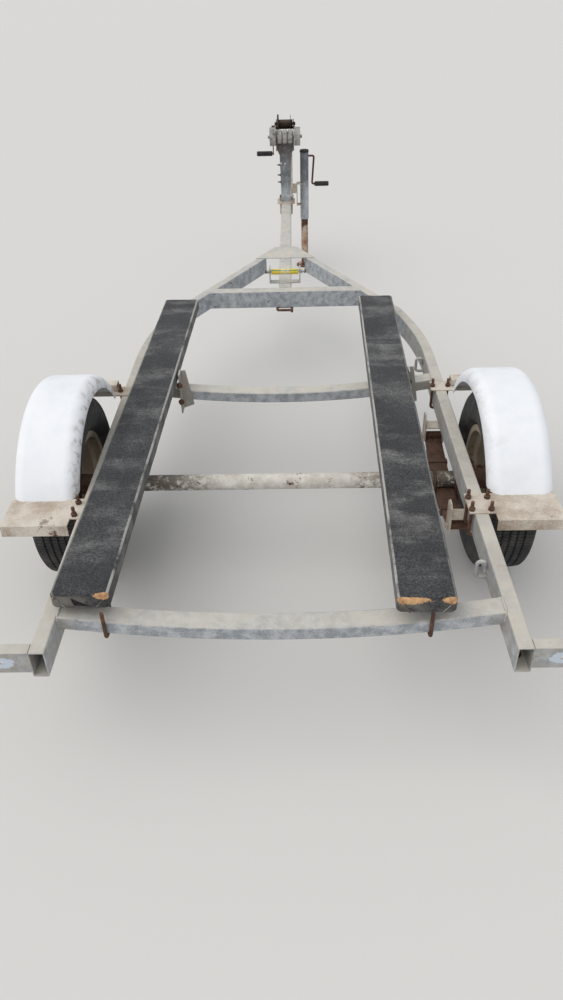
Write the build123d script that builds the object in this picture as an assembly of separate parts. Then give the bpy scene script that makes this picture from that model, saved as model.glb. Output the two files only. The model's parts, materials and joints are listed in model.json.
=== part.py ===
"""Small single-axle boat trailer: box-section frame, leaf springs, two carpeted bunks,
a winch post with a bow stop, and a side-wind jack. Millimetres, +Y towards the coupler,
+X to the right when looking forward, +Z up, origin on the floor below the middle."""
from build123d import *
import os
from math import asin, atan2, cos, degrees, pi, radians, sin, sqrt, tan

# Driving dimensions: frame. A "station" is the distance ahead of the rear rail ends.
LENGTH = 4250.0
FRAME_WIDTH = 1200.0
RAIL_WIDTH = 40.0
RAIL_HEIGHT = 80.0
RAIL_WALL = 3.0
BEND_STATION = 1782.0
BEND_ANGLE = 15.0
BEND_RADIUS = 1500.0
KINK_STATION = 2075.0
LEG_ANGLE = 27.8
CROSS_SAG = 48.0
REAR_CROSS_STATION = 150.0
REAR_CROSS_DEPTH = 60.0
MIDDLE_CROSS_STATION = 1400.0
MIDDLE_CROSS_DEPTH = 58.0
BOWED_HEIGHT = 40.0
FRONT_CROSS_STATION = 2332.0
FRONT_CROSS_DEPTH = 55.0
FRONT_HOLE_RADIUS = 3.5
FRONT_HOLE_INSET = 9.5
FRONT_HOLE_END_GAP = 20.0
DRAWBAR_SIZE = 60.0
DRAWBAR_WALL = 4.0
GUSSET_LENGTH = 180.0
GUSSET_SETBACK = 55.0
GUSSET_THICKNESS = 3.0
GUSSET_RADIUS = 12.0
LAMP_ARM_LENGTH = 202.0
LAMP_ARM_HEIGHT = 65.0
LAMP_ARM_DEPTH = 32.0
LAMP_ARM_WALL = 4.0
LAMP_HOLE_RADIUS = 5.0

# Running gear
TYRE_RADIUS = 300.0
TYRE_WIDTH = 160.0
TREAD_WIDTH = 124.0
TYRE_WALL = 9.0
GROOVE_WIDTH = 7.0
GROOVE_DEPTH = 6.0
BEAD_RADIUS = 165.1
RIM_WIDTH = 127.0
RIM_FLANGE = 17.0
RIM_WALL = 3.5
RIM_WELL_DEPTH = 19.0
RIM_OFFSET = 28.0
VENT_COUNT = 12
VENT_RADIUS = 11.0
VENT_CIRCLE = 118.0
STUD_COUNT = 4
STUD_CIRCLE = 50.0
HUB_BODY_RADIUS = 33.0
HUB_FLANGE_RADIUS = 66.0
HUB_FLANGE = 9.0
HUB_NOSE_RADIUS = 28.0
HUB_NOSE_LENGTH = 42.0
SPINDLE_RADIUS = 17.0
SPINDLE_END_GAP = 3.0
HUB_END_WALL = 4.0
SHAFT_CLEARANCE = 0.06
AXLE_STATION = 905.0
AXLE_RADIUS = 27.0
AXLE_WALL = 6.0
AXLE_PLUG = 40.0
RIDE_GAP = 28.0
SPRING_SPAN = 540.0
SPRING_WIDTH = 60.0
LEAF_THICKNESS = 7.0
LEAF_COUNT = 4
LEAF_STEP = 55.0
SPRING_INSET = 15.0
EYE_RADIUS = 14.0
HANGER_DROP = 44.0
HANGER_LENGTH = 50.0
HANGER_PLATE = 5.0
HANGER_LIP = 45.0
HANGER_SIDE_GAP = 0.3
HANGER_PIN_RADIUS = 7.0

# Fenders, their steps and arms
FENDER_GAP = 19.0
FENDER_MARGIN = 17.5
FENDER_CLEARANCE = 105.0
FENDER_SHEET = 2.0
FENDER_ROLL = 38.0
FENDER_LIP = 8.0
FENDER_LEAD = 55.0
FENDER_DROP = 67.0
STEP_DEPTH = 135.0
STEP_PLATE = 4.0
STEP_FLANGE = 36.0
TONGUE_DEPTH = 98.0
TONGUE_REACH = 16.0
ARM_BAR_DEPTH = 50.0
ARM_TUBE_DEPTH = 40.0
ARM_TUBE_HEIGHT = 28.0
ARM_TUBE_WALL = 3.0
ROD_RADIUS = 5.0
ROD_CLEARANCE = 3.0
ROD_RISE = 30.0
ROD_HOLE_CLEARANCE = 0.5
ROD_UNDER_BUNK_GAP = 2.0
NUT_RADIUS = 9.5
NUT_HEIGHT = 9.0

# Bunks
BUNK_WIDTH = 150.0
BUNK_THICKNESS = 50.0
BUNK_TOP = 68.0
BUNK_EDGE = 7.0
BRACKET_LEG = 45.0
BRACKET_THICKNESS = 5.0
BRACKET_HEIGHT = 160.0
BRACKET_TOP_GAP = 10.0
BRACKET_CORNER = 16.0
BRACKET_SIDE_GAP = 0.4
HOOK_RADIUS = 5.0

# Keel roller ahead of the front crossmember
KEEL_STATION = 2430.0
KEEL_BRACKET_WIDTH = 150.0
KEEL_BRACKET_DEPTH = 36.0
KEEL_BRACKET_HEIGHT = 82.0
KEEL_PLATE = 5.0
KEEL_AXIS_HEIGHT = 52.0
KEEL_ROLLER_RADIUS = 13.0
KEEL_PIN_RADIUS = 6.0
ROLLER_END_GAP = 4.0

# Winch post and bow stop
POST_SETBACK = 417.0
POST_DEPTH = 60.0
POST_WIDTH = 58.0
POST_TOP_WIDTH = 73.0
POST_WALL = 4.0
POST_HEIGHT = 343.0
POST_FOOT_WIDTH = 110.0
POST_FOOT_DEPTH = 106.0
POST_BOLT_GAP = 12.0
POST_FOOT_THICKNESS = 8.0
HEAD_PLATE = 6.0
HEAD_LENGTH = 200.0
BOW_REACH = 70.0
BOW_RISE = 60.0
BOW_DISC_RADIUS = 51.0
BOW_DISC_WIDTH = 36.0
BOW_MIDDLE_RADIUS = 38.0
BOW_PIN_RADIUS = 8.0
YOKE_WIDTH = 98.0
YOKE_PLATE = 5.0

# Hand winch
WINCH_AXIS_HEIGHT = 94.0
WINCH_FORWARD = 98.0
WINCH_WIDTH = 100.0
WINCH_PLATE = 4.0
GEAR_MODULE = 2.5
GEAR_TEETH = 40
PINION_TEETH = 10
GEAR_WIDTH = 9.0
GEAR_BACKLASH = 0.5
DRUM_RADIUS = 24.0
DRUM_FLANGE_RADIUS = 49.0
DRUM_FLANGE = 3.0
WINCH_SHAFT_RADIUS = 8.0
PINION_ANGLE = -30.0
CRANK_LENGTH = 148.0
CRANK_OUTSET = 26.0
CRANK_BAR_WIDTH = 20.0
CRANK_BAR = 6.0
CRANK_PIN_RADIUS = 5.0
CRANK_BOSS_RADIUS = 14.0
GRIP_LENGTH = 98.0
GRIP_RADIUS = 14.5

# Jack
JACK_SETBACK = 312.0
JACK_OUTSET = 117.0
JACK_RADIUS = 26.5
JACK_WALL = 3.7
JACK_TUBE_BOTTOM = 309.0
JACK_TUBE_LENGTH = 404.0
JACK_SLIDE_GAP = 0.3
JACK_LEG_WALL = 3.0
JACK_OVERLAP = 150.0
JACK_CAP_HEIGHT = 14.0
JACK_FOOT_RADIUS = 55.0
JACK_FOOT_THICKNESS = 6.0
JACK_BRACKET_LOW = -40.0
JACK_BRACKET_HIGH = 96.0
JACK_CLAMP_TOP = 275.0
JACK_PLATE = 6.0
JACK_PLATE_GAP = 20.0
JACK_CHANNEL_DEPTH = 44.0
JACK_WEB_GAP = 24.0
JACK_CRANK_DROP = 22.0
JACK_CRANK_LENGTH = 168.0
JACK_CRANK_OUTSET = 34.0
JACK_CRANK_LEAN = 12.0
JACK_CRANK_RADIUS = 6.0
JACK_GRIP_LENGTH = 90.0
JACK_HANDLE_GAP = 16.0

# Tie-down eyes
REAR_EYE_STATION = 330.0
MIDDLE_EYE_STATION = 1580.0
EYE_HEIGHT = 65.0
EYE_REACH = 36.0
EYE_BAR_RADIUS = 5.5
EYE_BEND = 11.0
EYE_OPENING = 8.0

# Coupler
COUPLER_SLEEVE = 120.0
COUPLER_WALL = 4.0
COUPLER_NOSE_RADIUS = 37.0
BALL_RADIUS = 25.4
LEVER_RADIUS = 8.0
LEVER_RISE = 34.0
LEVER_REACH = 95.0

# Worked out from the above
HALF_FRAME = FRAME_WIDTH / 2
FENDER_RADIUS = TYRE_RADIUS + FENDER_CLEARANCE
RAIL_INNER = HALF_FRAME - RAIL_WIDTH
RAIL_BOTTOM = TYRE_RADIUS + AXLE_RADIUS + RIDE_GAP
RAIL_TOP = RAIL_BOTTOM + RAIL_HEIGHT
FENDER_WIDTH = TYRE_WIDTH + 2 * FENDER_MARGIN
WHEEL_X = HALF_FRAME + FENDER_GAP + FENDER_WIDTH / 2
AXLE_Z = TYRE_RADIUS
SIDES = (("left", -1), ("right", 1))


def at(station):
    """Row-frame Y of a station."""
    return station - LENGTH / 2


def block(x, y, z):
    """A box between two limits on each axis."""
    size = [high - low for low, high in (x, y, z)]
    middle = [(high + low) / 2 for low, high in (x, y, z)]
    return Pos(*middle) * Box(*size)


def sided(side, near, far):
    """Ordered X limits of a stretch on one side of the centre line."""
    return tuple(sorted((side * near, side * far)))


def shaft(start, end, radius):
    """A round bar from one point to another."""
    start, end = Vector(*start), Vector(*end)
    plane = Plane(origin=start, z_dir=end - start)
    return extrude(plane * Circle(radius), (end - start).length)


def rod(points, radius, bend):
    """A round bar bent along points, with the same inside bend everywhere."""
    path = FilletPolyline(*points, radius=bend)
    return sweep(Plane(origin=path @ 0, z_dir=path % 0) * Circle(radius), path=path)


def nut(x, y, z, axis=(0, 0, 1)):
    """A hexagon nut whose lower face is at the point given."""
    return extrude(Plane(origin=(x, y, z), z_dir=axis) * RegularPolygon(NUT_RADIUS, 6), NUT_HEIGHT)


def box_section(width, height, wall):
    """The profile of a box tube, width along its plane's X."""
    corner = 1.5 * wall
    outer = RectangleRounded(width, height, corner)
    return outer - RectangleRounded(width - 2 * wall, height - 2 * wall, corner - wall)


# Frame rails
KINK_X = RAIL_INNER + RAIL_WIDTH / 2 - (KINK_STATION - BEND_STATION) * tan(radians(BEND_ANGLE))
MITRE_ANGLE = (BEND_ANGLE + LEG_ANGLE) / 2
RAIL_MIDDLE = (RAIL_TOP + RAIL_BOTTOM) / 2
LEG_RUN = 900.0


def heading(side, angle):
    """Plan direction that leans inward from straight ahead by an angle."""
    return Vector(-side * sin(radians(angle)), cos(radians(angle)), 0)


def mitre_plane(side):
    """Vertical plane between a rail and its leg, facing forward."""
    return Plane(origin=(side * KINK_X, at(KINK_STATION), 0), z_dir=heading(side, MITRE_ANGLE))


def keep_behind(shape, plane, reach=6000.0):
    """Cuts away what lies ahead of a plane."""
    return shape - extrude(plane * Rectangle(reach, reach), reach)


def side_rail(side):
    x = side * (HALF_FRAME - RAIL_WIDTH / 2)
    past = heading(side, BEND_ANGLE) * (2 * RAIL_WIDTH)
    kink = Vector(side * KINK_X, at(KINK_STATION), RAIL_MIDDLE)
    points = ((x, at(0), RAIL_MIDDLE), (x, at(BEND_STATION), RAIL_MIDDLE), kink + past)
    path = FilletPolyline(*points, radius=BEND_RADIUS)
    plane = Plane(origin=path @ 0, z_dir=(0, 1, 0), x_dir=(1, 0, 0))
    tube = sweep(plane * box_section(RAIL_WIDTH, RAIL_HEIGHT, RAIL_WALL), path=path)
    return keep_behind(tube, mitre_plane(side))


def frame_leg(side):
    ahead = heading(side, LEG_ANGLE)
    kink = Vector(side * KINK_X, at(KINK_STATION), RAIL_MIDDLE)
    plane = Plane(origin=kink - ahead * (2 * RAIL_WIDTH), z_dir=ahead, x_dir=(ahead.Y, -ahead.X, 0))
    tube = extrude(plane * box_section(RAIL_WIDTH, RAIL_HEIGHT, RAIL_WALL), LEG_RUN)
    tube = keep_behind(tube, -mitre_plane(side))
    reach = 6 * DRAWBAR_SIZE
    beyond = block(sided(side, DRAWBAR_SIZE / 2, -LEG_RUN), (at(0), at(LENGTH)),
                   (RAIL_BOTTOM - reach, RAIL_TOP + reach))
    return tube - beyond


def bowed_crossmember(station, depth):
    """A flat box tube bowed down between the rails, its ends flush with their tops."""
    radius = (RAIL_INNER ** 2 + CROSS_SAG ** 2) / (2 * CROSS_SAG)
    middle = RAIL_TOP - BOWED_HEIGHT / 2
    past = RAIL_INNER + RAIL_WIDTH
    past_rise = CROSS_SAG - radius + sqrt(radius ** 2 - RAIL_INNER ** 2)
    end_z = middle - CROSS_SAG + radius - sqrt(radius ** 2 - past ** 2) + past_rise
    path = ThreePointArc((-past, at(station), end_z), (0, at(station), middle - CROSS_SAG),
                         (past, at(station), end_z))
    plane = Plane(origin=path @ 0, z_dir=path % 0, x_dir=(0, 1, 0))
    tube = sweep(plane * box_section(depth, BOWED_HEIGHT, RAIL_WALL), path=path)
    room = block((-RAIL_INNER, RAIL_INNER), (at(station) - depth, at(station) + depth),
                 (RAIL_BOTTOM - LEG_RUN, RAIL_TOP + LEG_RUN))
    return tube & room


def leg_centre_x(station):
    return KINK_X - (station - KINK_STATION) * tan(radians(LEG_ANGLE))


def inner_face(side, angle):
    """Inner face of the tube that leaves the kink at an angle, facing outward."""
    outward = Vector(side * cos(radians(angle)), sin(radians(angle)), 0)
    kink = Vector(side * KINK_X, at(KINK_STATION), RAIL_MIDDLE)
    return Plane(origin=kink - outward * (RAIL_WIDTH / 2), z_dir=outward)


FRONT_CROSS_REAR = FRONT_CROSS_STATION - FRONT_CROSS_DEPTH / 2
FRONT_CROSS_FRONT = FRONT_CROSS_STATION + FRONT_CROSS_DEPTH / 2


def front_crossmember():
    """Box tube between the legs, drilled near the corners of its rear face."""
    half = leg_centre_x(FRONT_CROSS_REAR)
    plane = Plane(origin=(-half, at(FRONT_CROSS_STATION), RAIL_MIDDLE), z_dir=(1, 0, 0), x_dir=(0, 1, 0))
    tube = extrude(plane * box_section(FRONT_CROSS_DEPTH, RAIL_HEIGHT, RAIL_WALL), 2 * half)
    rear, inside = at(FRONT_CROSS_REAR - 1), at(FRONT_CROSS_REAR + 2 * RAIL_WALL)
    for _, side in SIDES:
        tube = keep_behind(tube, inner_face(side, LEG_ANGLE))
        x = side * (half - RAIL_WIDTH / 2 / cos(radians(LEG_ANGLE)) - FRONT_HOLE_END_GAP)
        for z in (RAIL_TOP - FRONT_HOLE_INSET, RAIL_BOTTOM + FRONT_HOLE_INSET):
            tube -= shaft((x, rear, z), (x, inside, z), FRONT_HOLE_RADIUS)
    return tube


COUPLER_LENGTH = COUPLER_SLEEVE + 2 * COUPLER_NOSE_RADIUS
DRAWBAR_FRONT = LENGTH - COUPLER_LENGTH + COUPLER_SLEEVE
DRAWBAR_BOTTOM = RAIL_TOP - DRAWBAR_SIZE
DRAWBAR_MIDDLE = RAIL_TOP - DRAWBAR_SIZE / 2


def drawbar():
    plane = Plane(origin=(0, at(FRONT_CROSS_FRONT), DRAWBAR_MIDDLE), z_dir=(0, 1, 0), x_dir=(1, 0, 0))
    section = box_section(DRAWBAR_SIZE, DRAWBAR_SIZE, DRAWBAR_WALL)
    return extrude(plane * section, DRAWBAR_FRONT - FRONT_CROSS_FRONT)


# Where the outer face of a leg would meet the side of the drawbar
LEG_TIP_STATION = KINK_STATION + (
    KINK_X + RAIL_WIDTH / 2 / cos(radians(LEG_ANGLE)) - DRAWBAR_SIZE / 2) / tan(radians(LEG_ANGLE))
GUSSET_FRONT = LEG_TIP_STATION - GUSSET_SETBACK


def leg_outer_x(station):
    return DRAWBAR_SIZE / 2 + (LEG_TIP_STATION - station) * tan(radians(LEG_ANGLE))


def gusset():
    """Thin plate over the legs where they meet the drawbar."""
    rear = GUSSET_FRONT - GUSSET_LENGTH
    half_rear, half_nose = leg_outer_x(rear), leg_outer_x(GUSSET_FRONT)
    outline = Polygon((-half_rear, at(rear)), (half_rear, at(rear)), (half_nose, at(GUSSET_FRONT)),
                      (-half_nose, at(GUSSET_FRONT)), align=None)
    nose = outline.vertices().filter_by(lambda v: abs(v.Y - at(GUSSET_FRONT)) < 1)
    outline = fillet(nose, GUSSET_RADIUS)
    return extrude(Pos(0, 0, RAIL_TOP) * outline, GUSSET_THICKNESS)


def lamp_arm(side):
    """Steel angle outboard of a rail end: a face that carries the lamp, and a top flange."""
    x = sided(side, HALF_FRAME, HALF_FRAME + LAMP_ARM_LENGTH)
    face = block(x, (at(0), at(LAMP_ARM_WALL)), (RAIL_TOP - LAMP_ARM_HEIGHT, RAIL_TOP))
    top = block(x, (at(0), at(LAMP_ARM_DEPTH)), (RAIL_TOP - LAMP_ARM_WALL, RAIL_TOP))
    hole_x = side * (HALF_FRAME + LAMP_ARM_LENGTH / 3)
    hole_z = RAIL_TOP - LAMP_ARM_HEIGHT / 2
    hole = shaft((hole_x, at(-LAMP_ARM_WALL), hole_z), (hole_x, at(2 * LAMP_ARM_WALL), hole_z),
                 LAMP_HOLE_RADIUS)
    return face + top - hole


# Axle and springs
AXLE_Y = at(AXLE_STATION)
BEAM_END = WHEEL_X - TYRE_WIDTH / 2 - 5.0
DISC_FACE = WHEEL_X + RIM_OFFSET
HUB_INNER_END = BEAM_END + 4.0
HUB_NOSE_END = DISC_FACE + HUB_NOSE_LENGTH
SPRING_X = RAIL_INNER - SPRING_INSET
SEAT_Z = AXLE_Z - AXLE_RADIUS
EYE_Z = RAIL_BOTTOM - HANGER_DROP


def axle():
    beam = shaft((-BEAM_END, AXLE_Y, AXLE_Z), (BEAM_END, AXLE_Y, AXLE_Z), AXLE_RADIUS)
    hollow = BEAM_END - AXLE_PLUG
    beam -= shaft((-hollow, AXLE_Y, AXLE_Z), (hollow, AXLE_Y, AXLE_Z), AXLE_RADIUS - AXLE_WALL)
    for _, side in SIDES:
        tip = HUB_NOSE_END - HUB_END_WALL - SPINDLE_END_GAP
        beam += shaft((side * (BEAM_END - 1), AXLE_Y, AXLE_Z), (side * tip, AXLE_Y, AXLE_Z), SPINDLE_RADIUS)
    return beam


def leaf_pack(side):
    """Leaves under the axle, the longest on top with rolled eyes at its ends."""
    half = SPRING_SPAN / 2
    rise = EYE_Z - EYE_RADIUS - (SEAT_Z - LEAF_THICKNESS)
    radius = (half ** 2 + rise ** 2) / (2 * rise)
    pack = None
    for leaf in range(LEAF_COUNT):
        reach = half - leaf * LEAF_STEP
        inner = radius + leaf * LEAF_THICKNESS
        turn = asin(reach / (radius + LEAF_COUNT * LEAF_THICKNESS))
        centre = Vector(side * SPRING_X, AXLE_Y, SEAT_Z + radius)

        def on_arc(r, angle):
            return (centre.Y + r * sin(angle), centre.Z - r * cos(angle))

        with BuildSketch(Plane.YZ) as profile:
            with BuildLine():
                ThreePointArc(on_arc(inner, -turn), on_arc(inner, 0), on_arc(inner, turn))
                Line(on_arc(inner, turn), on_arc(inner + LEAF_THICKNESS, turn))
                ThreePointArc(on_arc(inner + LEAF_THICKNESS, turn), on_arc(inner + LEAF_THICKNESS, 0),
                              on_arc(inner + LEAF_THICKNESS, -turn))
                Line(on_arc(inner + LEAF_THICKNESS, -turn), on_arc(inner, -turn))
            make_face()
        blade = Pos(side * SPRING_X - SPRING_WIDTH / 2, 0, 0) * extrude(profile.sketch, SPRING_WIDTH)
        pack = blade if pack is None else pack + blade
    for end in (-1, 1):
        y = AXLE_Y + end * half
        x0, x1 = side * SPRING_X - SPRING_WIDTH / 2, side * SPRING_X + SPRING_WIDTH / 2
        pack += shaft((x0, y, EYE_Z), (x1, y, EYE_Z), EYE_RADIUS)
        pack -= shaft((x0 - 1, y, EYE_Z), (x1 + 1, y, EYE_Z), HANGER_PIN_RADIUS + SHAFT_CLEARANCE)
    return pack


def spring_hanger(side, end):
    """Cheeks either side of a spring eye under the rail, with a pin through them."""
    y = AXLE_Y + end * SPRING_SPAN / 2
    gap = SPRING_WIDTH / 2 + HANGER_SIDE_GAP
    low = EYE_Z - EYE_RADIUS - 6.0
    y_limits = (y - HANGER_LENGTH / 2, y + HANGER_LENGTH / 2)
    outer = block(sided(side, SPRING_X + gap, SPRING_X + gap + HANGER_PLATE), y_limits, (low, RAIL_BOTTOM))
    inner_x = sided(side, SPRING_X - gap - HANGER_PLATE, SPRING_X - gap)
    inner = block(inner_x, y_limits, (low, RAIL_BOTTOM + HANGER_LIP))
    corners = inner.edges().filter_by(Axis.X)
    inner = chamfer(corners, HANGER_LENGTH / 4)
    web = block(sided(side, SPRING_X - gap, RAIL_INNER), y_limits,
                (RAIL_BOTTOM - HANGER_PLATE, RAIL_BOTTOM))
    under = block(sided(side, SPRING_X - gap, SPRING_X + gap), y_limits,
                  (RAIL_BOTTOM - HANGER_PLATE, RAIL_BOTTOM))
    pin_reach = gap + HANGER_PLATE + NUT_HEIGHT
    pin = shaft((side * (SPRING_X - pin_reach), y, EYE_Z), (side * (SPRING_X + pin_reach), y, EYE_Z),
                HANGER_PIN_RADIUS)
    for out in (-1, 1):
        pin += nut(side * SPRING_X + out * (gap + HANGER_PLATE), y, EYE_Z, (out, 0, 0))
    return outer + inner + web + under + pin


def axle_clamp(side):
    """Plate under the leaves and two U-bolts over the axle."""
    pack_bottom = SEAT_Z - LEAF_COUNT * LEAF_THICKNESS - LEAF_THICKNESS / 4
    half = AXLE_RADIUS + ROD_RADIUS + 1.0
    width = SPRING_WIDTH / 2 + ROD_RADIUS + 1.0
    x = side * SPRING_X
    plate = block((x - width - 12, x + width + 12), (AXLE_Y - half - 12, AXLE_Y + half + 12),
                  (pack_bottom - 8, pack_bottom))
    crown = AXLE_Z + AXLE_RADIUS + ROD_RADIUS
    tail = pack_bottom - 8 - ROD_RISE
    for dx in (-width, width):
        plate += rod(((x + dx, AXLE_Y - half, tail), (x + dx, AXLE_Y - half, crown),
                      (x + dx, AXLE_Y + half, crown), (x + dx, AXLE_Y + half, tail)),
                     ROD_RADIUS, half - 0.5)
        for dy in (-half, half):
            plate += nut(x + dx, AXLE_Y + dy, pack_bottom - 8 - NUT_HEIGHT)
    return plate


# Wheels: profiles lie in the plane of X and radius and turn about the axle line
def turned(profile, side, y=None, z=None):
    """Revolves an X-radius outline about the axle line, or one parallel to it, on one side."""
    solid = revolve(Plane.XZ * make_face(profile), Axis.X)
    if side < 0:
        solid = mirror(solid, Plane.YZ)
    return Pos(side * WHEEL_X, AXLE_Y if y is None else y, AXLE_Z if z is None else z) * solid


def around(count, radius, first=0.0):
    """Y and Z offsets of evenly spaced points on a circle."""
    return [(radius * cos(radians(first + 360 * i / count)), radius * sin(radians(first + 360 * i / count)))
            for i in range(count)]


def tyre(side):
    """Hollow carcass with plain circumferential grooves; the beads sit on the rim seats."""
    half_tread, half = TREAD_WIDTH / 2, TYRE_WIDTH / 2
    shoulder, edge = TYRE_RADIUS - 9.0, TYRE_RADIUS - 3.0
    bulge = (BEAD_RADIUS + TYRE_RADIUS) / 2 + 4.0
    bead_out, bead_in = RIM_WIDTH / 2 - 0.5, RIM_WIDTH / 2 - 15.0
    flange_top = BEAD_RADIUS + RIM_FLANGE
    outer = Curve() + [
        Polyline((bead_in, BEAD_RADIUS), (bead_out, BEAD_RADIUS), (bead_out, flange_top)),
        ThreePointArc((bead_out, flange_top), (half, bulge), (half - 5.0, shoulder - 18.0)),
        ThreePointArc((half - 5.0, shoulder - 18.0), (half_tread + 5.0, shoulder), (half_tread, edge)),
        ThreePointArc((half_tread, edge), (0, TYRE_RADIUS), (-half_tread, edge)),
        ThreePointArc((-half_tread, edge), (-half_tread - 5.0, shoulder), (-half + 5.0, shoulder - 18.0)),
        ThreePointArc((-half + 5.0, shoulder - 18.0), (-half, bulge), (-bead_out, flange_top)),
        Polyline((-bead_out, flange_top), (-bead_out, BEAD_RADIUS), (-bead_in, BEAD_RADIUS),
                 (-bead_in, BEAD_RADIUS + 12.0)),
        ThreePointArc((-bead_in, BEAD_RADIUS + 12.0), (-half + TYRE_WALL, bulge),
                      (-half_tread, TYRE_RADIUS - 16.0)),
        Line((-half_tread, TYRE_RADIUS - 16.0), (half_tread, TYRE_RADIUS - 16.0)),
        ThreePointArc((half_tread, TYRE_RADIUS - 16.0), (half - TYRE_WALL, bulge),
                      (bead_in, BEAD_RADIUS + 12.0)),
        Line((bead_in, BEAD_RADIUS + 12.0), (bead_in, BEAD_RADIUS)),
    ]
    body = turned(outer, side)
    for share in (-0.54, -0.18, 0.18, 0.54):
        x = side * WHEEL_X + share * half_tread
        ring = shaft((x - GROOVE_WIDTH / 2, AXLE_Y, AXLE_Z), (x + GROOVE_WIDTH / 2, AXLE_Y, AXLE_Z),
                     TYRE_RADIUS + 5.0)
        ring -= shaft((x - GROOVE_WIDTH, AXLE_Y, AXLE_Z), (x + GROOVE_WIDTH, AXLE_Y, AXLE_Z),
                      TYRE_RADIUS - GROOVE_DEPTH)
        body -= ring
    return body


def rim(side):
    """Pressed wheel: drop-centre barrel with a dished, vented disc."""
    half, wall = RIM_WIDTH / 2, RIM_WALL
    seat, well = BEAD_RADIUS, BEAD_RADIUS - RIM_WELL_DEPTH
    lip = BEAD_RADIUS + RIM_FLANGE
    barrel = Polyline((-half - wall, lip), (-half, lip), (-half, seat), (-half + 22, seat),
                      (-half + 32, well), (half - 42, well), (half - 26, seat), (half, seat), (half, lip), (half + wall, lip),
                      (half + wall, seat - wall), (half - 24, seat - wall), (half - 40, well - wall),
                      (-half + 30, well - wall), (-half + 20, seat - wall), (-half - wall, seat - wall),
                      close=True)
    body = turned(barrel, side)
    bore = HUB_NOSE_RADIUS + 0.5
    web = Polyline((RIM_OFFSET, bore), (RIM_OFFSET + wall, bore), (RIM_OFFSET + wall, HUB_FLANGE_RADIUS + 8),
                   (RIM_OFFSET + 16, VENT_CIRCLE - 16), (RIM_OFFSET + 12, VENT_CIRCLE + 18),
                   (RIM_OFFSET - 8, well - wall), (RIM_OFFSET - 8 - wall, well - wall),
                   (RIM_OFFSET + 12 - wall, VENT_CIRCLE + 15), (RIM_OFFSET + 16 - wall, VENT_CIRCLE - 14),
                   (RIM_OFFSET, HUB_FLANGE_RADIUS + 8), close=True)
    body += turned(web, side)
    inner, outer = side * (DISC_FACE - 30), side * (DISC_FACE + 40)
    for dy, dz in around(VENT_COUNT, VENT_CIRCLE):
        body -= shaft((inner, AXLE_Y + dy, AXLE_Z + dz), (outer, AXLE_Y + dy, AXLE_Z + dz), VENT_RADIUS)
    for dy, dz in around(STUD_COUNT, STUD_CIRCLE, 45):
        body -= shaft((inner, AXLE_Y + dy, AXLE_Z + dz), (outer, AXLE_Y + dy, AXLE_Z + dz), 7.0)
    return body


def hub(side):
    """Bearing housing, flange, studs with nuts, and the grease cap."""
    base = DISC_FACE - WHEEL_X
    inner = HUB_INNER_END - WHEEL_X
    nose = HUB_NOSE_END - WHEEL_X
    bore = SPINDLE_RADIUS + SHAFT_CLEARANCE
    outline = Polyline((inner, bore), (inner, HUB_BODY_RADIUS), (base - HUB_FLANGE, HUB_BODY_RADIUS + 4),
                       (base - HUB_FLANGE, HUB_FLANGE_RADIUS), (base, HUB_FLANGE_RADIUS),
                       (base, HUB_NOSE_RADIUS), (nose - 5, HUB_NOSE_RADIUS), (nose, HUB_NOSE_RADIUS - 5),
                       (nose, 0), (nose - HUB_END_WALL, 0), (nose - HUB_END_WALL, bore), close=True)
    body = turned(outline, side)
    for dy, dz in around(STUD_COUNT, STUD_CIRCLE, 45):
        y, z = AXLE_Y + dy, AXLE_Z + dz
        face = side * (DISC_FACE + RIM_WALL)
        body += shaft((side * (DISC_FACE - 1), y, z), (side * (DISC_FACE + 24), y, z), 6.0)
        body += extrude(Plane(origin=(face, y, z), z_dir=(side, 0, 0)) * RegularPolygon(11.0, 6), 14.0)
    return body


# Fenders
FENDER_CENTRE = AXLE_STATION + FENDER_LEAD
FENDER_CENTRE_Z = AXLE_Z - FENDER_DROP
STEP_TOP = RAIL_TOP + STEP_PLATE
FENDER_FOOT = sqrt(FENDER_RADIUS ** 2 - (STEP_TOP - FENDER_CENTRE_Z) ** 2)
FENDER_INNER = WHEEL_X - FENDER_WIDTH / 2
FENDER_OUTER = WHEEL_X + FENDER_WIDTH / 2


def fender(side):
    """A rolled sheet over the wheel: flat crown, rounded shoulders and a short straight lip."""
    half, top, roll, sheet = FENDER_WIDTH / 2, FENDER_RADIUS, FENDER_ROLL, FENDER_SHEET
    flat, low = half - roll, FENDER_RADIUS - FENDER_ROLL
    diagonal = sqrt(0.5)
    outer, inner = roll * diagonal, (roll - sheet) * diagonal
    profile = Curve() + [
        Line((-half, low - FENDER_LIP), (-half, low)),
        ThreePointArc((-half, low), (-flat - outer, low + outer), (-flat, top)),
        Line((-flat, top), (flat, top)),
        ThreePointArc((flat, top), (flat + outer, low + outer), (half, low)),
        Polyline((half, low), (half, low - FENDER_LIP), (half - sheet, low - FENDER_LIP),
                 (half - sheet, low)),
        ThreePointArc((half - sheet, low), (flat + inner, low + inner), (flat, top - sheet)),
        Line((flat, top - sheet), (-flat, top - sheet)),
        ThreePointArc((-flat, top - sheet), (-flat - inner, low + inner), (-half + sheet, low)),
        Polyline((-half + sheet, low), (-half + sheet, low - FENDER_LIP), (-half, low - FENDER_LIP)),
    ]
    y, z = at(FENDER_CENTRE), FENDER_CENTRE_Z
    x = sided(side, FENDER_INNER - 1, FENDER_OUTER + 1)
    above = block(x, (y - FENDER_RADIUS, y + FENDER_RADIUS), (STEP_TOP, z + FENDER_RADIUS + 1))
    return turned(profile, side, y, z) & above


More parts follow.
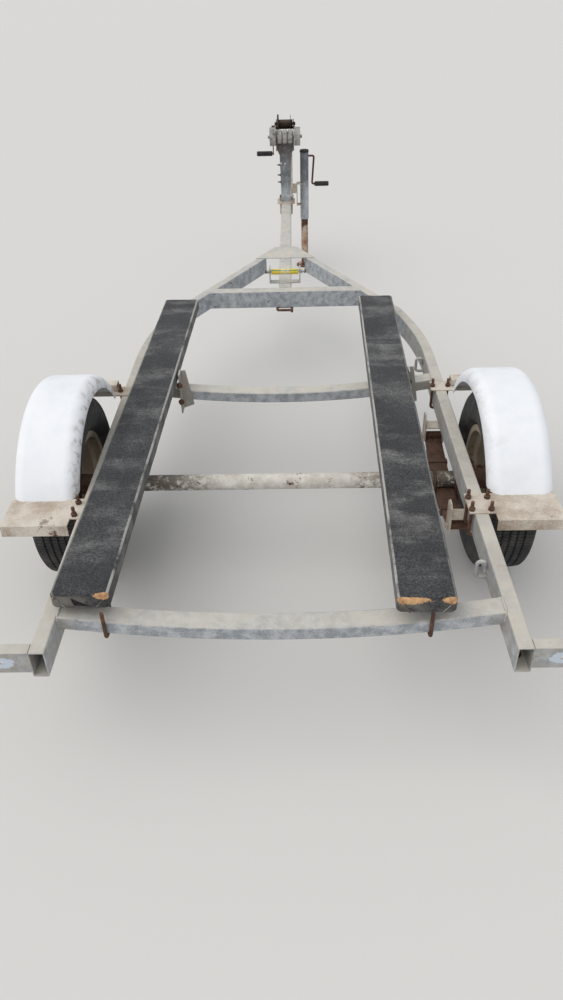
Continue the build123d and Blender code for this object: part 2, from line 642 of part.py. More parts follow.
STEP_LAP = 12.0
STEP_FRONT = FENDER_CENTRE - FENDER_FOOT + STEP_LAP
STEP_REAR = STEP_FRONT - STEP_DEPTH
TONGUE_INNER = RAIL_INNER - TONGUE_REACH
ARM_STATION = FENDER_CENTRE + FENDER_FOOT + ARM_TUBE_DEPTH / 2 + 0.3
STEP_BOLTS = (STEP_FRONT - STEP_LAP - 12.0, STEP_FRONT - TONGUE_DEPTH + 14.0)
ARM_BOLTS = (ARM_STATION - 20.0,)
BOLT_REACH = RAIL_WIDTH / 2 + ROD_RADIUS + ROD_CLEARANCE


def with_rod_holes(plate, side, stations):
    """Drills a plate over the rail for the ends of its U-bolts."""
    for station in stations:
        for dx in (-BOLT_REACH, BOLT_REACH):
            x = side * (HALF_FRAME - RAIL_WIDTH / 2) + dx
            plate -= shaft((x, at(station), RAIL_TOP - 1), (x, at(station), STEP_TOP + 1),
                           ROD_RADIUS + ROD_HOLE_CLEARANCE)
    return plate


def step(side):
    """Rear step plate: a tongue over the rail, a tread and a flange down at the back."""
    tread = block(sided(side, FENDER_INNER, FENDER_OUTER), (at(STEP_REAR), at(STEP_FRONT)),
                  (RAIL_TOP, STEP_TOP))
    tongue_rear = STEP_FRONT - TONGUE_DEPTH
    tongue = block(sided(side, TONGUE_INNER, FENDER_INNER), (at(tongue_rear), at(STEP_FRONT)),
                   (RAIL_TOP, STEP_TOP))
    flange = block(sided(side, FENDER_INNER, FENDER_OUTER), (at(STEP_REAR), at(STEP_REAR + STEP_PLATE)),
                   (STEP_TOP - STEP_FLANGE, STEP_TOP))
    return with_rod_holes(tread + tongue + flange, side, STEP_BOLTS)


def fender_arm(side):
    """Front arm: a flat bar over the rail with a short open tube that the fender leans on."""
    bar = block(sided(side, TONGUE_INNER, FENDER_OUTER - 20),
                (at(ARM_STATION - ARM_BAR_DEPTH), at(ARM_STATION + ARM_TUBE_DEPTH / 2)), (RAIL_TOP, STEP_TOP))
    plane = Plane(origin=(side * FENDER_INNER, at(ARM_STATION), STEP_TOP + ARM_TUBE_HEIGHT / 2),
                  z_dir=(side, 0, 0), x_dir=(0, 1, 0))
    tube = extrude(plane * box_section(ARM_TUBE_DEPTH, ARM_TUBE_HEIGHT, ARM_TUBE_WALL), FENDER_WIDTH - 20)
    return with_rod_holes(bar + tube, side, ARM_BOLTS)


# Bunks: station of each end with the gap from the rail to the plank's centre line there, and how
# far the rear hook stands to the right of that line. The left one is set nearer its rail.
BUNKS = {
    "left": dict(side=-1, rear=(131.0, 69.5), front=(2060.0, 107.5), hook=48.0),
    "right": dict(side=1, rear=(102.0, 201.5), front=(2065.0, 155.0), hook=18.0),
}
BUNK_UNDERSIDE = RAIL_TOP + BUNK_TOP - BUNK_THICKNESS


def bunk_centre(bunk, station):
    (s0, gap0), (s1, gap1) = bunk["rear"], bunk["front"]
    return bunk["side"] * (RAIL_INNER - gap0 - (gap1 - gap0) * (station - s0) / (s1 - s0))


def bunk_board(bunk):
    """Carpet-covered plank with soft edges, set at a slight angle in plan."""
    s0, s1 = bunk["rear"][0], bunk["front"][0]
    x0, x1 = bunk_centre(bunk, s0), bunk_centre(bunk, s1)
    length = sqrt((s1 - s0) ** 2 + (x1 - x0) ** 2)
    yaw = -degrees(atan2(x1 - x0, s1 - s0))
    board = Box(BUNK_WIDTH, length, BUNK_THICKNESS)
    board = fillet(board.edges(), BUNK_EDGE)
    middle = ((x0 + x1) / 2, at((s0 + s1) / 2), BUNK_UNDERSIDE + BUNK_THICKNESS / 2)
    return Pos(*middle) * Rot(0, 0, yaw) * board


def rail_u_bolt(name, side, station):
    """A bent rod under the rail, its threaded ends up through a plate with nuts.
    The inner end is short where a bunk lies over it."""
    x = side * (HALF_FRAME - RAIL_WIDTH / 2)
    floor = RAIL_BOTTOM - ROD_RADIUS
    top = STEP_TOP + ROD_RISE
    inner = HALF_FRAME - RAIL_WIDTH / 2 - BOLT_REACH
    covered = abs(bunk_centre(BUNKS[name], station)) + BUNK_WIDTH / 2 > inner - ROD_RADIUS
    inner_top = BUNK_UNDERSIDE - ROD_UNDER_BUNK_GAP if covered else top
    y = at(station)
    inner_x, outer_x = x - side * BOLT_REACH, x + side * BOLT_REACH
    bolt = rod(((inner_x, y, inner_top), (inner_x, y, floor), (outer_x, y, floor), (outer_x, y, top)),
               ROD_RADIUS, 2 * ROD_RADIUS)
    return bolt + nut(inner_x, y, STEP_TOP) + nut(outer_x, y, STEP_TOP)


def cross_top(x):
    """Height of a bowed crossmember's upper face."""
    middle_radius = (RAIL_INNER ** 2 + CROSS_SAG ** 2) / (2 * CROSS_SAG)
    return RAIL_TOP - CROSS_SAG + middle_radius - sqrt(middle_radius ** 2 - x ** 2)


def bunk_bracket(bunk, toward):
    """Upright angle behind the middle crossmember, on one side of a bunk: a leg along the bunk's
    side and a tapered leg flat on the crossmember."""
    near = MIDDLE_CROSS_STATION - MIDDLE_CROSS_DEPTH / 2
    rear = near - BRACKET_LEG
    reach = max(toward * bunk_centre(bunk, near), toward * bunk_centre(bunk, rear))
    edge = reach + BUNK_WIDTH / 2 + BRACKET_SIDE_GAP
    top = RAIL_TOP + BUNK_TOP - BRACKET_TOP_GAP
    low = top - BRACKET_HEIGHT
    along = block(sided(toward, edge, edge + BRACKET_THICKNESS), (at(rear), at(near)), (low, top))
    plane = Plane(origin=(0, at(near), 0), x_dir=(1, 0, 0), z_dir=(0, -1, 0))
    outline = Polygon((toward * edge, low), (toward * (edge + BRACKET_LEG), low + BRACKET_CORNER),
                      (toward * (edge + BRACKET_LEG / 2), top), (toward * edge, top), align=None)
    across = extrude(plane * outline, BRACKET_THICKNESS, dir=(0, -1, 0))
    return along + across


def bunk_hook(bunk):
    """Bent rod from the bunk's underside round the rear crossmember."""
    station = REAR_CROSS_STATION
    reach = REAR_CROSS_DEPTH / 2 + HOOK_RADIUS + 0.5
    x = bunk_centre(bunk, station) + bunk["hook"]
    low = cross_top(x) - BOWED_HEIGHT - HOOK_RADIUS - 6.0
    top = BUNK_UNDERSIDE
    return rod(((x, at(station) - reach, top), (x, at(station) - reach, low), (x, at(station) + reach, low),
                (x, at(station) + reach, top)), HOOK_RADIUS, 2.5 * HOOK_RADIUS)


# Keel roller
KEEL_Y = at(KEEL_STATION)
KEEL_AXIS_Z = RAIL_TOP + KEEL_AXIS_HEIGHT


def keel_bracket():
    half = KEEL_BRACKET_WIDTH / 2
    y = (KEEL_Y - KEEL_BRACKET_DEPTH / 2, KEEL_Y + KEEL_BRACKET_DEPTH / 2)
    bracket = block((-half, half), y, (RAIL_TOP, RAIL_TOP + KEEL_PLATE))
    for _, side in SIDES:
        cheek = block(sided(side, half - KEEL_PLATE, half), y, (RAIL_TOP, RAIL_TOP + KEEL_BRACKET_HEIGHT))
        top = cheek.edges().filter_by(Axis.X).sort_by(Axis.Z)[-2:]
        bracket += fillet(top, KEEL_BRACKET_DEPTH / 2 - 1)
    pin = shaft((-half - 14, KEEL_Y, KEEL_AXIS_Z), (half + 20, KEEL_Y, KEEL_AXIS_Z), KEEL_PIN_RADIUS)
    for _, side in SIDES:
        pin += nut(side * half, KEEL_Y, KEEL_AXIS_Z, (side, 0, 0))
    return bracket + pin


def roller(x0, x1, y, z, radius, bore):
    body = shaft((x0, y, z), (x1, y, z), radius)
    return body - shaft((x0 - 1, y, z), (x1 + 1, y, z), bore + SHAFT_CLEARANCE)


def keel_roller():
    half = KEEL_BRACKET_WIDTH / 2 - KEEL_PLATE - ROLLER_END_GAP
    return roller(-half, half, KEEL_Y, KEEL_AXIS_Z, KEEL_ROLLER_RADIUS, KEEL_PIN_RADIUS)


# Winch post and bow stop
POST_REAR = LENGTH - POST_SETBACK
POST_FRONT = POST_REAR + POST_DEPTH
POST_FOOT_TOP = RAIL_TOP + POST_FOOT_THICKNESS
POST_TOP = RAIL_TOP + POST_HEIGHT
HEAD_TOP = POST_TOP + HEAD_PLATE


def post_half(z):
    """Half the post's width at a height."""
    share = (z - POST_FOOT_TOP) / (POST_TOP - POST_FOOT_TOP)
    return (POST_WIDTH + share * (POST_TOP_WIDTH - POST_WIDTH)) / 2


def winch_post():
    """Pressed channel, open to the front and a little wider at the top."""
    def outline(inset, low, high):
        foot, top = POST_WIDTH / 2 - inset, POST_TOP_WIDTH / 2 - inset
        return Polygon((-foot, low), (foot, low), (top, high), (-top, high), align=None)

    rear = Plane(origin=(0, at(POST_REAR), 0), x_dir=(1, 0, 0), z_dir=(0, -1, 0))
    post = extrude(rear * outline(0, POST_FOOT_TOP, POST_TOP), -POST_DEPTH)
    inside = Plane(origin=(0, at(POST_REAR + POST_WALL), 0), x_dir=(1, 0, 0), z_dir=(0, -1, 0))
    post -= extrude(inside * outline(POST_WALL, POST_FOOT_TOP - 1, POST_TOP + 1), -POST_DEPTH)
    return post


def post_foot():
    """Foot plate on the drawbar, held by U-bolts under it, with a plate below."""
    middle = POST_REAR + POST_DEPTH / 2
    y = (at(middle - POST_FOOT_DEPTH / 2), at(middle + POST_FOOT_DEPTH / 2))
    half = POST_FOOT_WIDTH / 2
    plate = block((-half, half), y, (RAIL_TOP, POST_FOOT_TOP))
    reach = DRAWBAR_SIZE / 2 + ROD_RADIUS + 1.0
    low = DRAWBAR_BOTTOM - ROD_RADIUS
    for station in (POST_REAR - POST_BOLT_GAP, POST_FRONT + POST_BOLT_GAP):
        top = POST_FOOT_TOP + 22.0
        plate += rod(((-reach, at(station), top), (-reach, at(station), low), (reach, at(station), low),
                      (reach, at(station), top)), ROD_RADIUS, 2 * ROD_RADIUS)
        for dx in (-reach, reach):
            plate += nut(dx, at(station), POST_FOOT_TOP)
    return plate


def winch_head():
    """Flat plate on the post that carries the winch."""
    half = YOKE_WIDTH / 2
    plate = block((-half, half), (at(POST_REAR), at(POST_REAR + HEAD_LENGTH)), (POST_TOP, HEAD_TOP))
    return fillet(plate.edges().filter_by(Axis.Z), 10.0)


BOW_Y = at(POST_REAR - BOW_REACH)
BOW_Z = POST_TOP + BOW_RISE
YOKE_OUTER = YOKE_WIDTH / 2 + YOKE_PLATE


def bow_yoke():
    """Two arms off a back plate on the post, holding the roller pin."""
    back_y = (at(POST_REAR - YOKE_PLATE), at(POST_REAR))
    low = POST_TOP - 70.0
    rear = Plane(origin=(0, back_y[0], 0), x_dir=(1, 0, 0), z_dir=(0, -1, 0))
    neck = POST_WIDTH / 2
    outline = Polygon((-neck, low), (neck, low), (YOKE_OUTER, POST_TOP - 20), (YOKE_OUTER, HEAD_TOP + 40),
                      (-YOKE_OUTER, HEAD_TOP + 40), (-YOKE_OUTER, POST_TOP - 20), align=None)
    yoke = extrude(rear * outline, -YOKE_PLATE)
    for _, side in SIDES:
        arm = block(sided(side, YOKE_WIDTH / 2, YOKE_OUTER), (BOW_Y - 26, back_y[0]),
                    (POST_TOP - 20, BOW_Z + 26))
        corners = arm.edges().filter_by(Axis.X).group_by(Axis.Y)[0]
        yoke += chamfer(corners, 22.0)
    pin_end = YOKE_OUTER + BOW_DISC_WIDTH + 12.0
    yoke += shaft((-pin_end, BOW_Y, BOW_Z), (pin_end, BOW_Y, BOW_Z), BOW_PIN_RADIUS)
    for _, side in SIDES:
        face = YOKE_OUTER + BOW_DISC_WIDTH + 2.0
        yoke += nut(side * face, BOW_Y, BOW_Z, (side, 0, 0))
    return yoke


def bow_roller_middle():
    """Ribbed roller: three lobes on one core."""
    half = YOKE_WIDTH / 2 - 1.0
    lobe = 2 * half / 3
    outline = [(-half, 0), (-half, BOW_MIDDLE_RADIUS - 12)]
    for index in range(3):
        x = -half + index * lobe
        outline += [(x + 5, BOW_MIDDLE_RADIUS), (x + lobe - 5, BOW_MIDDLE_RADIUS),
                    (x + lobe, BOW_MIDDLE_RADIUS - 12)]
    outline += [(half, 0)]
    profile = Plane.XZ * make_face(Polyline(*outline, close=True))
    body = Pos(0, BOW_Y, BOW_Z) * revolve(profile, Axis.X)
    return body - shaft((-half - 1, BOW_Y, BOW_Z), (half + 1, BOW_Y, BOW_Z), BOW_PIN_RADIUS + SHAFT_CLEARANCE)


def bow_roller_side(side):
    x0, x1 = sided(side, YOKE_OUTER + 1.0, YOKE_OUTER + 1.0 + BOW_DISC_WIDTH)
    return roller(x0, x1, BOW_Y, BOW_Z, BOW_DISC_RADIUS, BOW_PIN_RADIUS)


# Winch
WINCH_Y = at(POST_REAR + WINCH_FORWARD)
WINCH_BASE = HEAD_TOP
WINCH_Z = WINCH_BASE + WINCH_AXIS_HEIGHT
CENTRE_DISTANCE = GEAR_MODULE * (GEAR_TEETH + PINION_TEETH) / 2
PINION_Y = WINCH_Y + CENTRE_DISTANCE * cos(radians(PINION_ANGLE))
PINION_Z = WINCH_Z + CENTRE_DISTANCE * sin(radians(PINION_ANGLE))
PLATE_X = WINCH_WIDTH / 2
GEAR_X = (-PLATE_X + 3.0, -PLATE_X + 3.0 + GEAR_WIDTH)


def winch_frame():
    y = (WINCH_Y - 60, PINION_Y + 26)
    base = block((-PLATE_X - WINCH_PLATE, PLATE_X + WINCH_PLATE), y, (WINCH_BASE, WINCH_BASE + WINCH_PLATE))
    outline = Polygon((y[0], WINCH_BASE), (y[1], WINCH_BASE), (y[1], PINION_Z + 14),
                      (WINCH_Y + 22, WINCH_Z + 24), (WINCH_Y - 22, WINCH_Z + 24), (y[0], WINCH_BASE + 30), align=None)
    for x in (-PLATE_X - WINCH_PLATE, PLATE_X):
        cheek = extrude(Plane(origin=(x, 0, 0), x_dir=(0, 1, 0), z_dir=(1, 0, 0)) * outline, WINCH_PLATE)
        for hole_y, hole_z in ((WINCH_Y, WINCH_Z), (PINION_Y, PINION_Z)):
            cheek -= shaft((x - 1, hole_y, hole_z), (x + WINCH_PLATE + 1, hole_y, hole_z),
                           WINCH_SHAFT_RADIUS + SHAFT_CLEARANCE)
        base += cheek
    return base


def gear(teeth, width_x, y, z, turn):
    """Spur gear with straight-flanked teeth, a little thin so that the pair runs free."""
    pitch = GEAR_MODULE * teeth / 2
    root, tip = pitch - 1.2 * GEAR_MODULE, pitch + GEAR_MODULE
    step_angle = 2 * pi / teeth
    thin = GEAR_BACKLASH / 2 / pitch
    points = []
    for tooth in range(teeth):
        middle = turn + tooth * step_angle
        for radius, share in ((root, -0.36), (tip, -0.13), (tip, 0.13), (root, 0.36)):
            angle = middle + share * step_angle - thin * (1 if share > 0 else -1)
            points.append((radius * cos(angle), radius * sin(angle)))
    plane = Plane(origin=(width_x[0], y, z), x_dir=(0, 1, 0), z_dir=(1, 0, 0))
    return extrude(plane * Polygon(*points, align=None), width_x[1] - width_x[0])


MESH_TURN = radians(PINION_ANGLE)


def winch_drum():
    """Drum and its gear on one shaft: a tooth points at the pinion's centre."""
    drum_x = (GEAR_X[1], PLATE_X - 3.0)
    drum = gear(GEAR_TEETH, GEAR_X, WINCH_Y, WINCH_Z, MESH_TURN)
    drum += shaft((drum_x[0], WINCH_Y, WINCH_Z), (drum_x[1], WINCH_Y, WINCH_Z), DRUM_RADIUS)
    flange = (drum_x[1] - 14, drum_x[1] - 14 + DRUM_FLANGE)
    drum += shaft((flange[0], WINCH_Y, WINCH_Z), (flange[1], WINCH_Y, WINCH_Z), DRUM_FLANGE_RADIUS)
    end = PLATE_X + WINCH_PLATE + 10
    return drum + shaft((-end, WINCH_Y, WINCH_Z), (end, WINCH_Y, WINCH_Z), WINCH_SHAFT_RADIUS)


CRANK_X = -(PLATE_X + WINCH_PLATE + CRANK_OUTSET)
WINCH_GRIP_START = CRANK_X - 3.0
WINCH_GRIP_END = WINCH_GRIP_START - GRIP_LENGTH


def winch_crank():
    """Pinion shaft with the crank arm hanging down on its left end."""
    pinion = gear(PINION_TEETH, (GEAR_X[0] - 1, GEAR_X[1] + 2), PINION_Y, PINION_Z,
                  pi + MESH_TURN + pi / PINION_TEETH)
    crank = pinion + shaft((CRANK_X, PINION_Y, PINION_Z), (PLATE_X + WINCH_PLATE + 8, PINION_Y, PINION_Z),
                           WINCH_SHAFT_RADIUS)
    crank += shaft((CRANK_X - 4, PINION_Y, PINION_Z), (CRANK_X + 16, PINION_Y, PINION_Z), CRANK_BOSS_RADIUS)
    low = PINION_Z - CRANK_LENGTH
    half = CRANK_BAR_WIDTH / 2
    bar = block((CRANK_X, CRANK_X + CRANK_BAR), (PINION_Y - half, PINION_Y + half), (low - half, PINION_Z))
    crank += fillet(bar.edges().filter_by(Axis.X).group_by(Axis.Z)[0], half - 1)
    return crank + shaft((CRANK_X + 1, PINION_Y, low), (WINCH_GRIP_END + GRIP_RADIUS, PINION_Y, low),
                         CRANK_PIN_RADIUS)


def grip(near, far, y, z, rod_radius):
    """Handle grip with soft ends, sleeved over a rod that comes in at its near end."""
    x0, x1 = sorted((near, far))
    half, middle = (x1 - x0) / 2, (x0 + x1) / 2
    profile = make_face(Polyline((-half, 0), (-half, GRIP_RADIUS - 2.5), (-half + 6, GRIP_RADIUS),
                                 (half - 6, GRIP_RADIUS), (half, GRIP_RADIUS - 2.5), (half, 0), close=True))
    body = Pos(middle, y, z) * revolve(Plane.XZ * profile, Axis.X)
    out = 1 if far > near else -1
    return body - shaft((near - out, y, z), (far - out * GRIP_RADIUS, y, z), rod_radius)


def winch_grip():
    return grip(WINCH_GRIP_START, WINCH_GRIP_END, PINION_Y, PINION_Z - CRANK_LENGTH, CRANK_PIN_RADIUS)


# Jack
JACK_Y = at(LENGTH - JACK_SETBACK)
JACK_TOP = JACK_TUBE_BOTTOM + JACK_TUBE_LENGTH
JACK_LEG_RADIUS = JACK_RADIUS - JACK_WALL - JACK_SLIDE_GAP
JACK_CRANK_Z = JACK_TOP - JACK_CRANK_DROP


def jack_tube():
    x, y = JACK_OUTSET, JACK_Y
    tube = shaft((x, y, JACK_TUBE_BOTTOM), (x, y, JACK_TOP), JACK_RADIUS)
    return tube - shaft((x, y, JACK_TUBE_BOTTOM - 1), (x, y, JACK_TOP + 1), JACK_RADIUS - JACK_WALL)


def jack_cap():
    x, y = JACK_OUTSET, JACK_Y
    cap = shaft((x, y, JACK_TOP), (x, y, JACK_TOP + JACK_CAP_HEIGHT), JACK_RADIUS + 1.5)
    return fillet(cap.edges().group_by(Axis.Z)[-1], 4.0)


def jack_leg():
    """Inner tube down to a flat round foot."""
    x, y = JACK_OUTSET, JACK_Y
    top = JACK_TUBE_BOTTOM + JACK_OVERLAP
    leg = shaft((x, y, JACK_FOOT_THICKNESS), (x, y, top), JACK_LEG_RADIUS)
    leg -= shaft((x, y, JACK_FOOT_THICKNESS + 1), (x, y, top + 1), JACK_LEG_RADIUS - JACK_LEG_WALL)
    return leg + shaft((x, y, 0), (x, y, JACK_FOOT_THICKNESS), JACK_FOOT_RADIUS)


def jack_bracket():
    """Plate up the right side of the post, with a channel out to the jack tube."""
    plate_x = (POST_TOP_WIDTH / 2, POST_TOP_WIDTH / 2 + JACK_PLATE)
    plate_low = POST_FOOT_TOP + NUT_HEIGHT + JACK_PLATE_GAP
    plate_high = RAIL_TOP + JACK_CLAMP_TOP
    rear = Plane(origin=(0, at(POST_REAR), 0), x_dir=(1, 0, 0), z_dir=(0, -1, 0))
    outline = Polygon((post_half(plate_low), plate_low), (plate_x[1], plate_low), (plate_x[1], plate_high),
                      (post_half(plate_high), plate_high), align=None)
    plate = extrude(rear * outline, at(POST_REAR) - JACK_Y - JACK_CHANNEL_DEPTH / 2)
    y = (JACK_Y - JACK_CHANNEL_DEPTH / 2, JACK_Y + JACK_CHANNEL_DEPTH / 2)
    low, high = RAIL_TOP + JACK_BRACKET_LOW, RAIL_TOP + JACK_BRACKET_HIGH
    web_x = plate_x[1] + JACK_WEB_GAP
    web = block((web_x, web_x + JACK_PLATE), y, (low, high))
    for z in (low, high - JACK_PLATE):
        web += block((web_x, JACK_OUTSET), y, (z, z + JACK_PLATE))
    web += block((plate_x[1], web_x), (y[0], y[0] + JACK_PLATE), (plate_low, high))
    web -= shaft((JACK_OUTSET, JACK_Y, low - 1), (JACK_OUTSET, JACK_Y, high + 1), JACK_RADIUS)
    return plate + web


JACK_ARM_TOP = JACK_OUTSET + JACK_RADIUS + JACK_CRANK_OUTSET
JACK_ARM_LOW = JACK_ARM_TOP - JACK_CRANK_LEAN
JACK_GRIP_START = JACK_ARM_LOW + JACK_HANDLE_GAP
JACK_GRIP_END = JACK_GRIP_START + JACK_GRIP_LENGTH
JACK_GRIP_Z = JACK_CRANK_Z - JACK_CRANK_LENGTH


def jack_crank():
    """Side crank: out from the tube, down, and out again into the grip."""
    return rod(((JACK_OUTSET + JACK_RADIUS, JACK_Y, JACK_CRANK_Z), (JACK_ARM_TOP, JACK_Y, JACK_CRANK_Z),
                (JACK_ARM_LOW, JACK_Y, JACK_GRIP_Z), (JACK_GRIP_END - GRIP_RADIUS, JACK_Y, JACK_GRIP_Z)),
               JACK_CRANK_RADIUS, 10.0)


def jack_grip():
    return grip(JACK_GRIP_START, JACK_GRIP_END, JACK_Y, JACK_GRIP_Z, JACK_CRANK_RADIUS)


# Coupler at the nose
SOCKET_STATION = LENGTH - COUPLER_NOSE_RADIUS
SLEEVE_REAR = DRAWBAR_FRONT - COUPLER_SLEEVE


def coupler():
    """Pressed coupler: a sleeve on the drawbar and a round nose with the ball socket."""
    half = DRAWBAR_SIZE / 2 + COUPLER_WALL
    low, high = DRAWBAR_BOTTOM - COUPLER_WALL, RAIL_TOP + COUPLER_WALL
    sleeve = block((-half, half), (at(SLEEVE_REAR), at(DRAWBAR_FRONT + COUPLER_WALL)), (low, high))
    sleeve -= block((-DRAWBAR_SIZE / 2, DRAWBAR_SIZE / 2), (at(SLEEVE_REAR - 1), at(DRAWBAR_FRONT)),
                    (DRAWBAR_BOTTOM, RAIL_TOP))
    nose_y = at(SOCKET_STATION)
    nose = shaft((0, nose_y, low), (0, nose_y, high), COUPLER_NOSE_RADIUS)
    cheek = COUPLER_NOSE_RADIUS - 5
    nose += block((-cheek, cheek), (at(DRAWBAR_FRONT), nose_y), (low, high))
    ball_z = low + BALL_RADIUS * 0.55
    nose -= Pos(0, nose_y, ball_z) * Sphere(BALL_RADIUS)
    nose -= shaft((0, nose_y, low - 1), (0, nose_y, ball_z), BALL_RADIUS)
    return sleeve + nose


def coupler_lever():
    y = at(SOCKET_STATION)
    top = RAIL_TOP + COUPLER_WALL
    return rod(((0, y, top), (0, y, top + LEVER_RISE), (0, y - LEVER_REACH, top + 1.5 * LEVER_RISE)),
               LEVER_RADIUS, 2 * LEVER_RADIUS)


# Eyes and shackle
def tie_eyes():
    """Two hooks of bent bar on the right rail's inner face, each left a little open."""
    hooks = []
    outer = RAIL_INNER - EYE_REACH + EYE_BAR_RADIUS
    for station in (REAR_EYE_STATION, MIDDLE_EYE_STATION):
        y = at(station)
        low = RAIL_MIDDLE - EYE_HEIGHT / 2 + EYE_BAR_RADIUS
        high = RAIL_MIDDLE + EYE_HEIGHT / 2 - EYE_BAR_RADIUS
        tip = RAIL_INNER - EYE_OPENING
        hooks.append(rod(((RAIL_INNER, y, low), (outer, y, low), (outer, y, high), (tip, y, high),
                          (tip, y, RAIL_MIDDLE)), EYE_BAR_RADIUS, EYE_BEND))
    return Compound(hooks)


def shackle():
    """Bent loop under the front crossmember, closed by a bolt."""
    z = RAIL_BOTTOM - 6.5
    y = at(FRONT_CROSS_STATION)
    loop = rod(((32, y, z), (-38, y, z), (-38, y - 44, z), (32, y - 44, z)), 6.0, 12.0)
    return loop + shaft((32, y + 8, z), (32, y - 60, z), 6.4)


def build():
    pieces = {
        "cross_rear": bowed_crossmember(REAR_CROSS_STATION, REAR_CROSS_DEPTH),
        "cross_middle": bowed_crossmember(MIDDLE_CROSS_STATION, MIDDLE_CROSS_DEPTH),
        "cross_front": front_crossmember(),
        "drawbar": drawbar(),
        "gusset": gusset(),
        "axle": axle(),
        "keel_bracket": keel_bracket(),
        "keel_roller": keel_roller(),
        "winch_post": winch_post(),
        "post_foot": post_foot(),
        "winch_head": winch_head(),
        "bow_yoke": bow_yoke(),
        "bow_roller_middle": bow_roller_middle(),
        "winch_frame": winch_frame(),
        "winch_drum": winch_drum(),
        "winch_crank": winch_crank(),
        "winch_grip": winch_grip(),
        "jack_tube": jack_tube(),
        "jack_cap": jack_cap(),
        "jack_leg": jack_leg(),
        "jack_bracket": jack_bracket(),
        "jack_crank": jack_crank(),
        "jack_grip": jack_grip(),
        "coupler": coupler(),
        "coupler_lever": coupler_lever(),
        "shackle": shackle(),
        "tie_eyes": tie_eyes(),
    }
    for name, side in SIDES:
        pieces[f"rail_{name}"] = side_rail(side)
        pieces[f"frame_leg_{name}"] = frame_leg(side)
        pieces[f"lamp_arm_{name}"] = lamp_arm(side)
        pieces[f"leaf_spring_{name}"] = leaf_pack(side)
        pieces[f"spring_hangers_{name}"] = Compound([spring_hanger(side, end) for end in (-1, 1)])
        pieces[f"axle_clamp_{name}"] = axle_clamp(side)
        pieces[f"tyre_{name}"] = tyre(side)
        pieces[f"rim_{name}"] = rim(side)
        pieces[f"hub_{name}"] = hub(side)
        pieces[f"fender_{name}"] = fender(side)
        pieces[f"step_{name}"] = step(side)
        pieces[f"fender_arm_{name}"] = fender_arm(side)
        pieces[f"bow_roller_{name}"] = bow_roller_side(side)
        pieces[f"bunk_{name}"] = bunk_board(BUNKS[name])
    pieces["rail_u_bolts"] = Compound(
        [rail_u_bolt(name, side, s) for name, side in SIDES for s in STEP_BOLTS + ARM_BOLTS])
    pieces["bunk_brackets"] = Compound([bunk_bracket(bunk, 1) for bunk in BUNKS.values()])
    pieces["bunk_hooks"] = Compound([bunk_hook(bunk) for bunk in BUNKS.values()])
    return pieces


os.makedirs("parts", exist_ok=True)
for node, shape in build().items():
    export_step(shape, f"parts/{node}.step")
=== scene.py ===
"""Looks of a small boat trailer: dusty galvanised steel, carpeted bunks, white fenders."""

# %% [markdown]
# The mechanical model comes first. It is imported as a fixed frame whose parts stand at their
# real places, in metres, with +Y towards the coupler. Everything below either gives one of those
# parts a finish or adds a detailed piece beside it, so no part has to be measured twice.

import json
import math
import random

import bmesh
import bpy
from mathutils import Matrix, Vector, noise
from mathutils.bvhtree import BVHTree


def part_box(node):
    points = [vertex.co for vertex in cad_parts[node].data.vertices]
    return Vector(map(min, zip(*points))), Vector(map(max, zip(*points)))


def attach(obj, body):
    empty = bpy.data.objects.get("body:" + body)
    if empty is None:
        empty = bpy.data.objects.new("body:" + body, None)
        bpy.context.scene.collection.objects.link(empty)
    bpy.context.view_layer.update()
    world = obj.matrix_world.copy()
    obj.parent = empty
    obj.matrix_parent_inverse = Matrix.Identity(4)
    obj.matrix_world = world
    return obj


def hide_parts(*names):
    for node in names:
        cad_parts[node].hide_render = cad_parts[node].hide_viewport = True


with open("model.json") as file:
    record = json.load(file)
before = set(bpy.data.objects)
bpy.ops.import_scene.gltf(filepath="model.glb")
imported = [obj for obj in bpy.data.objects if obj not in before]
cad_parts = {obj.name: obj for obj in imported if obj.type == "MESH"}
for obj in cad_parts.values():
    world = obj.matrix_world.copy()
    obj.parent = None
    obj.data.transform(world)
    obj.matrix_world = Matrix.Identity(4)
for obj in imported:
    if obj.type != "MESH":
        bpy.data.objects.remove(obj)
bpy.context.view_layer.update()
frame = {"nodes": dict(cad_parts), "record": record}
nodes = frame["nodes"]
SIDES = {"left": -1, "right": 1}
print("parts in the frame:", len(nodes))


def middle(node):
    """Centre of a part's box."""
    low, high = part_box(node)
    return (low + high) / 2


# %% [markdown]
# The camera stands behind the rear crossmember at head height and looks down along the trailer.
# Its place and tilt were fitted to the corners of the frame in the photograph, so they are given
# as numbers. A lens in pixels turns into millimetres through the height of the picture, because
# Blender fits the sensor to the longer side.

# %% Camera
PICTURE_HEIGHT = 1000.0
LENS_PIXELS = 776.6
SENSOR = 36.0
CAMERA_PLACE = Vector((0.0487, -3.3992, 1.7937))
CAMERA_DOWN = math.radians(35.81)
CAMERA_LEFT = math.radians(1.51)
CAMERA_ROLL = math.radians(-1.68)


def aim_camera():
    """Turns the camera down, a little left, and rolls it about its line of sight."""
    ahead = Vector((-math.sin(CAMERA_LEFT) * math.cos(CAMERA_DOWN),
                    math.cos(CAMERA_LEFT) * math.cos(CAMERA_DOWN), -math.sin(CAMERA_DOWN)))
    level = Vector((math.cos(CAMERA_LEFT), math.sin(CAMERA_LEFT), 0.0))
    top = level.cross(ahead)
    right = level * math.cos(CAMERA_ROLL) + top * math.sin(CAMERA_ROLL)
    up = top * math.cos(CAMERA_ROLL) - level * math.sin(CAMERA_ROLL)
    return Matrix((right, up, -ahead)).transposed().to_4x4()


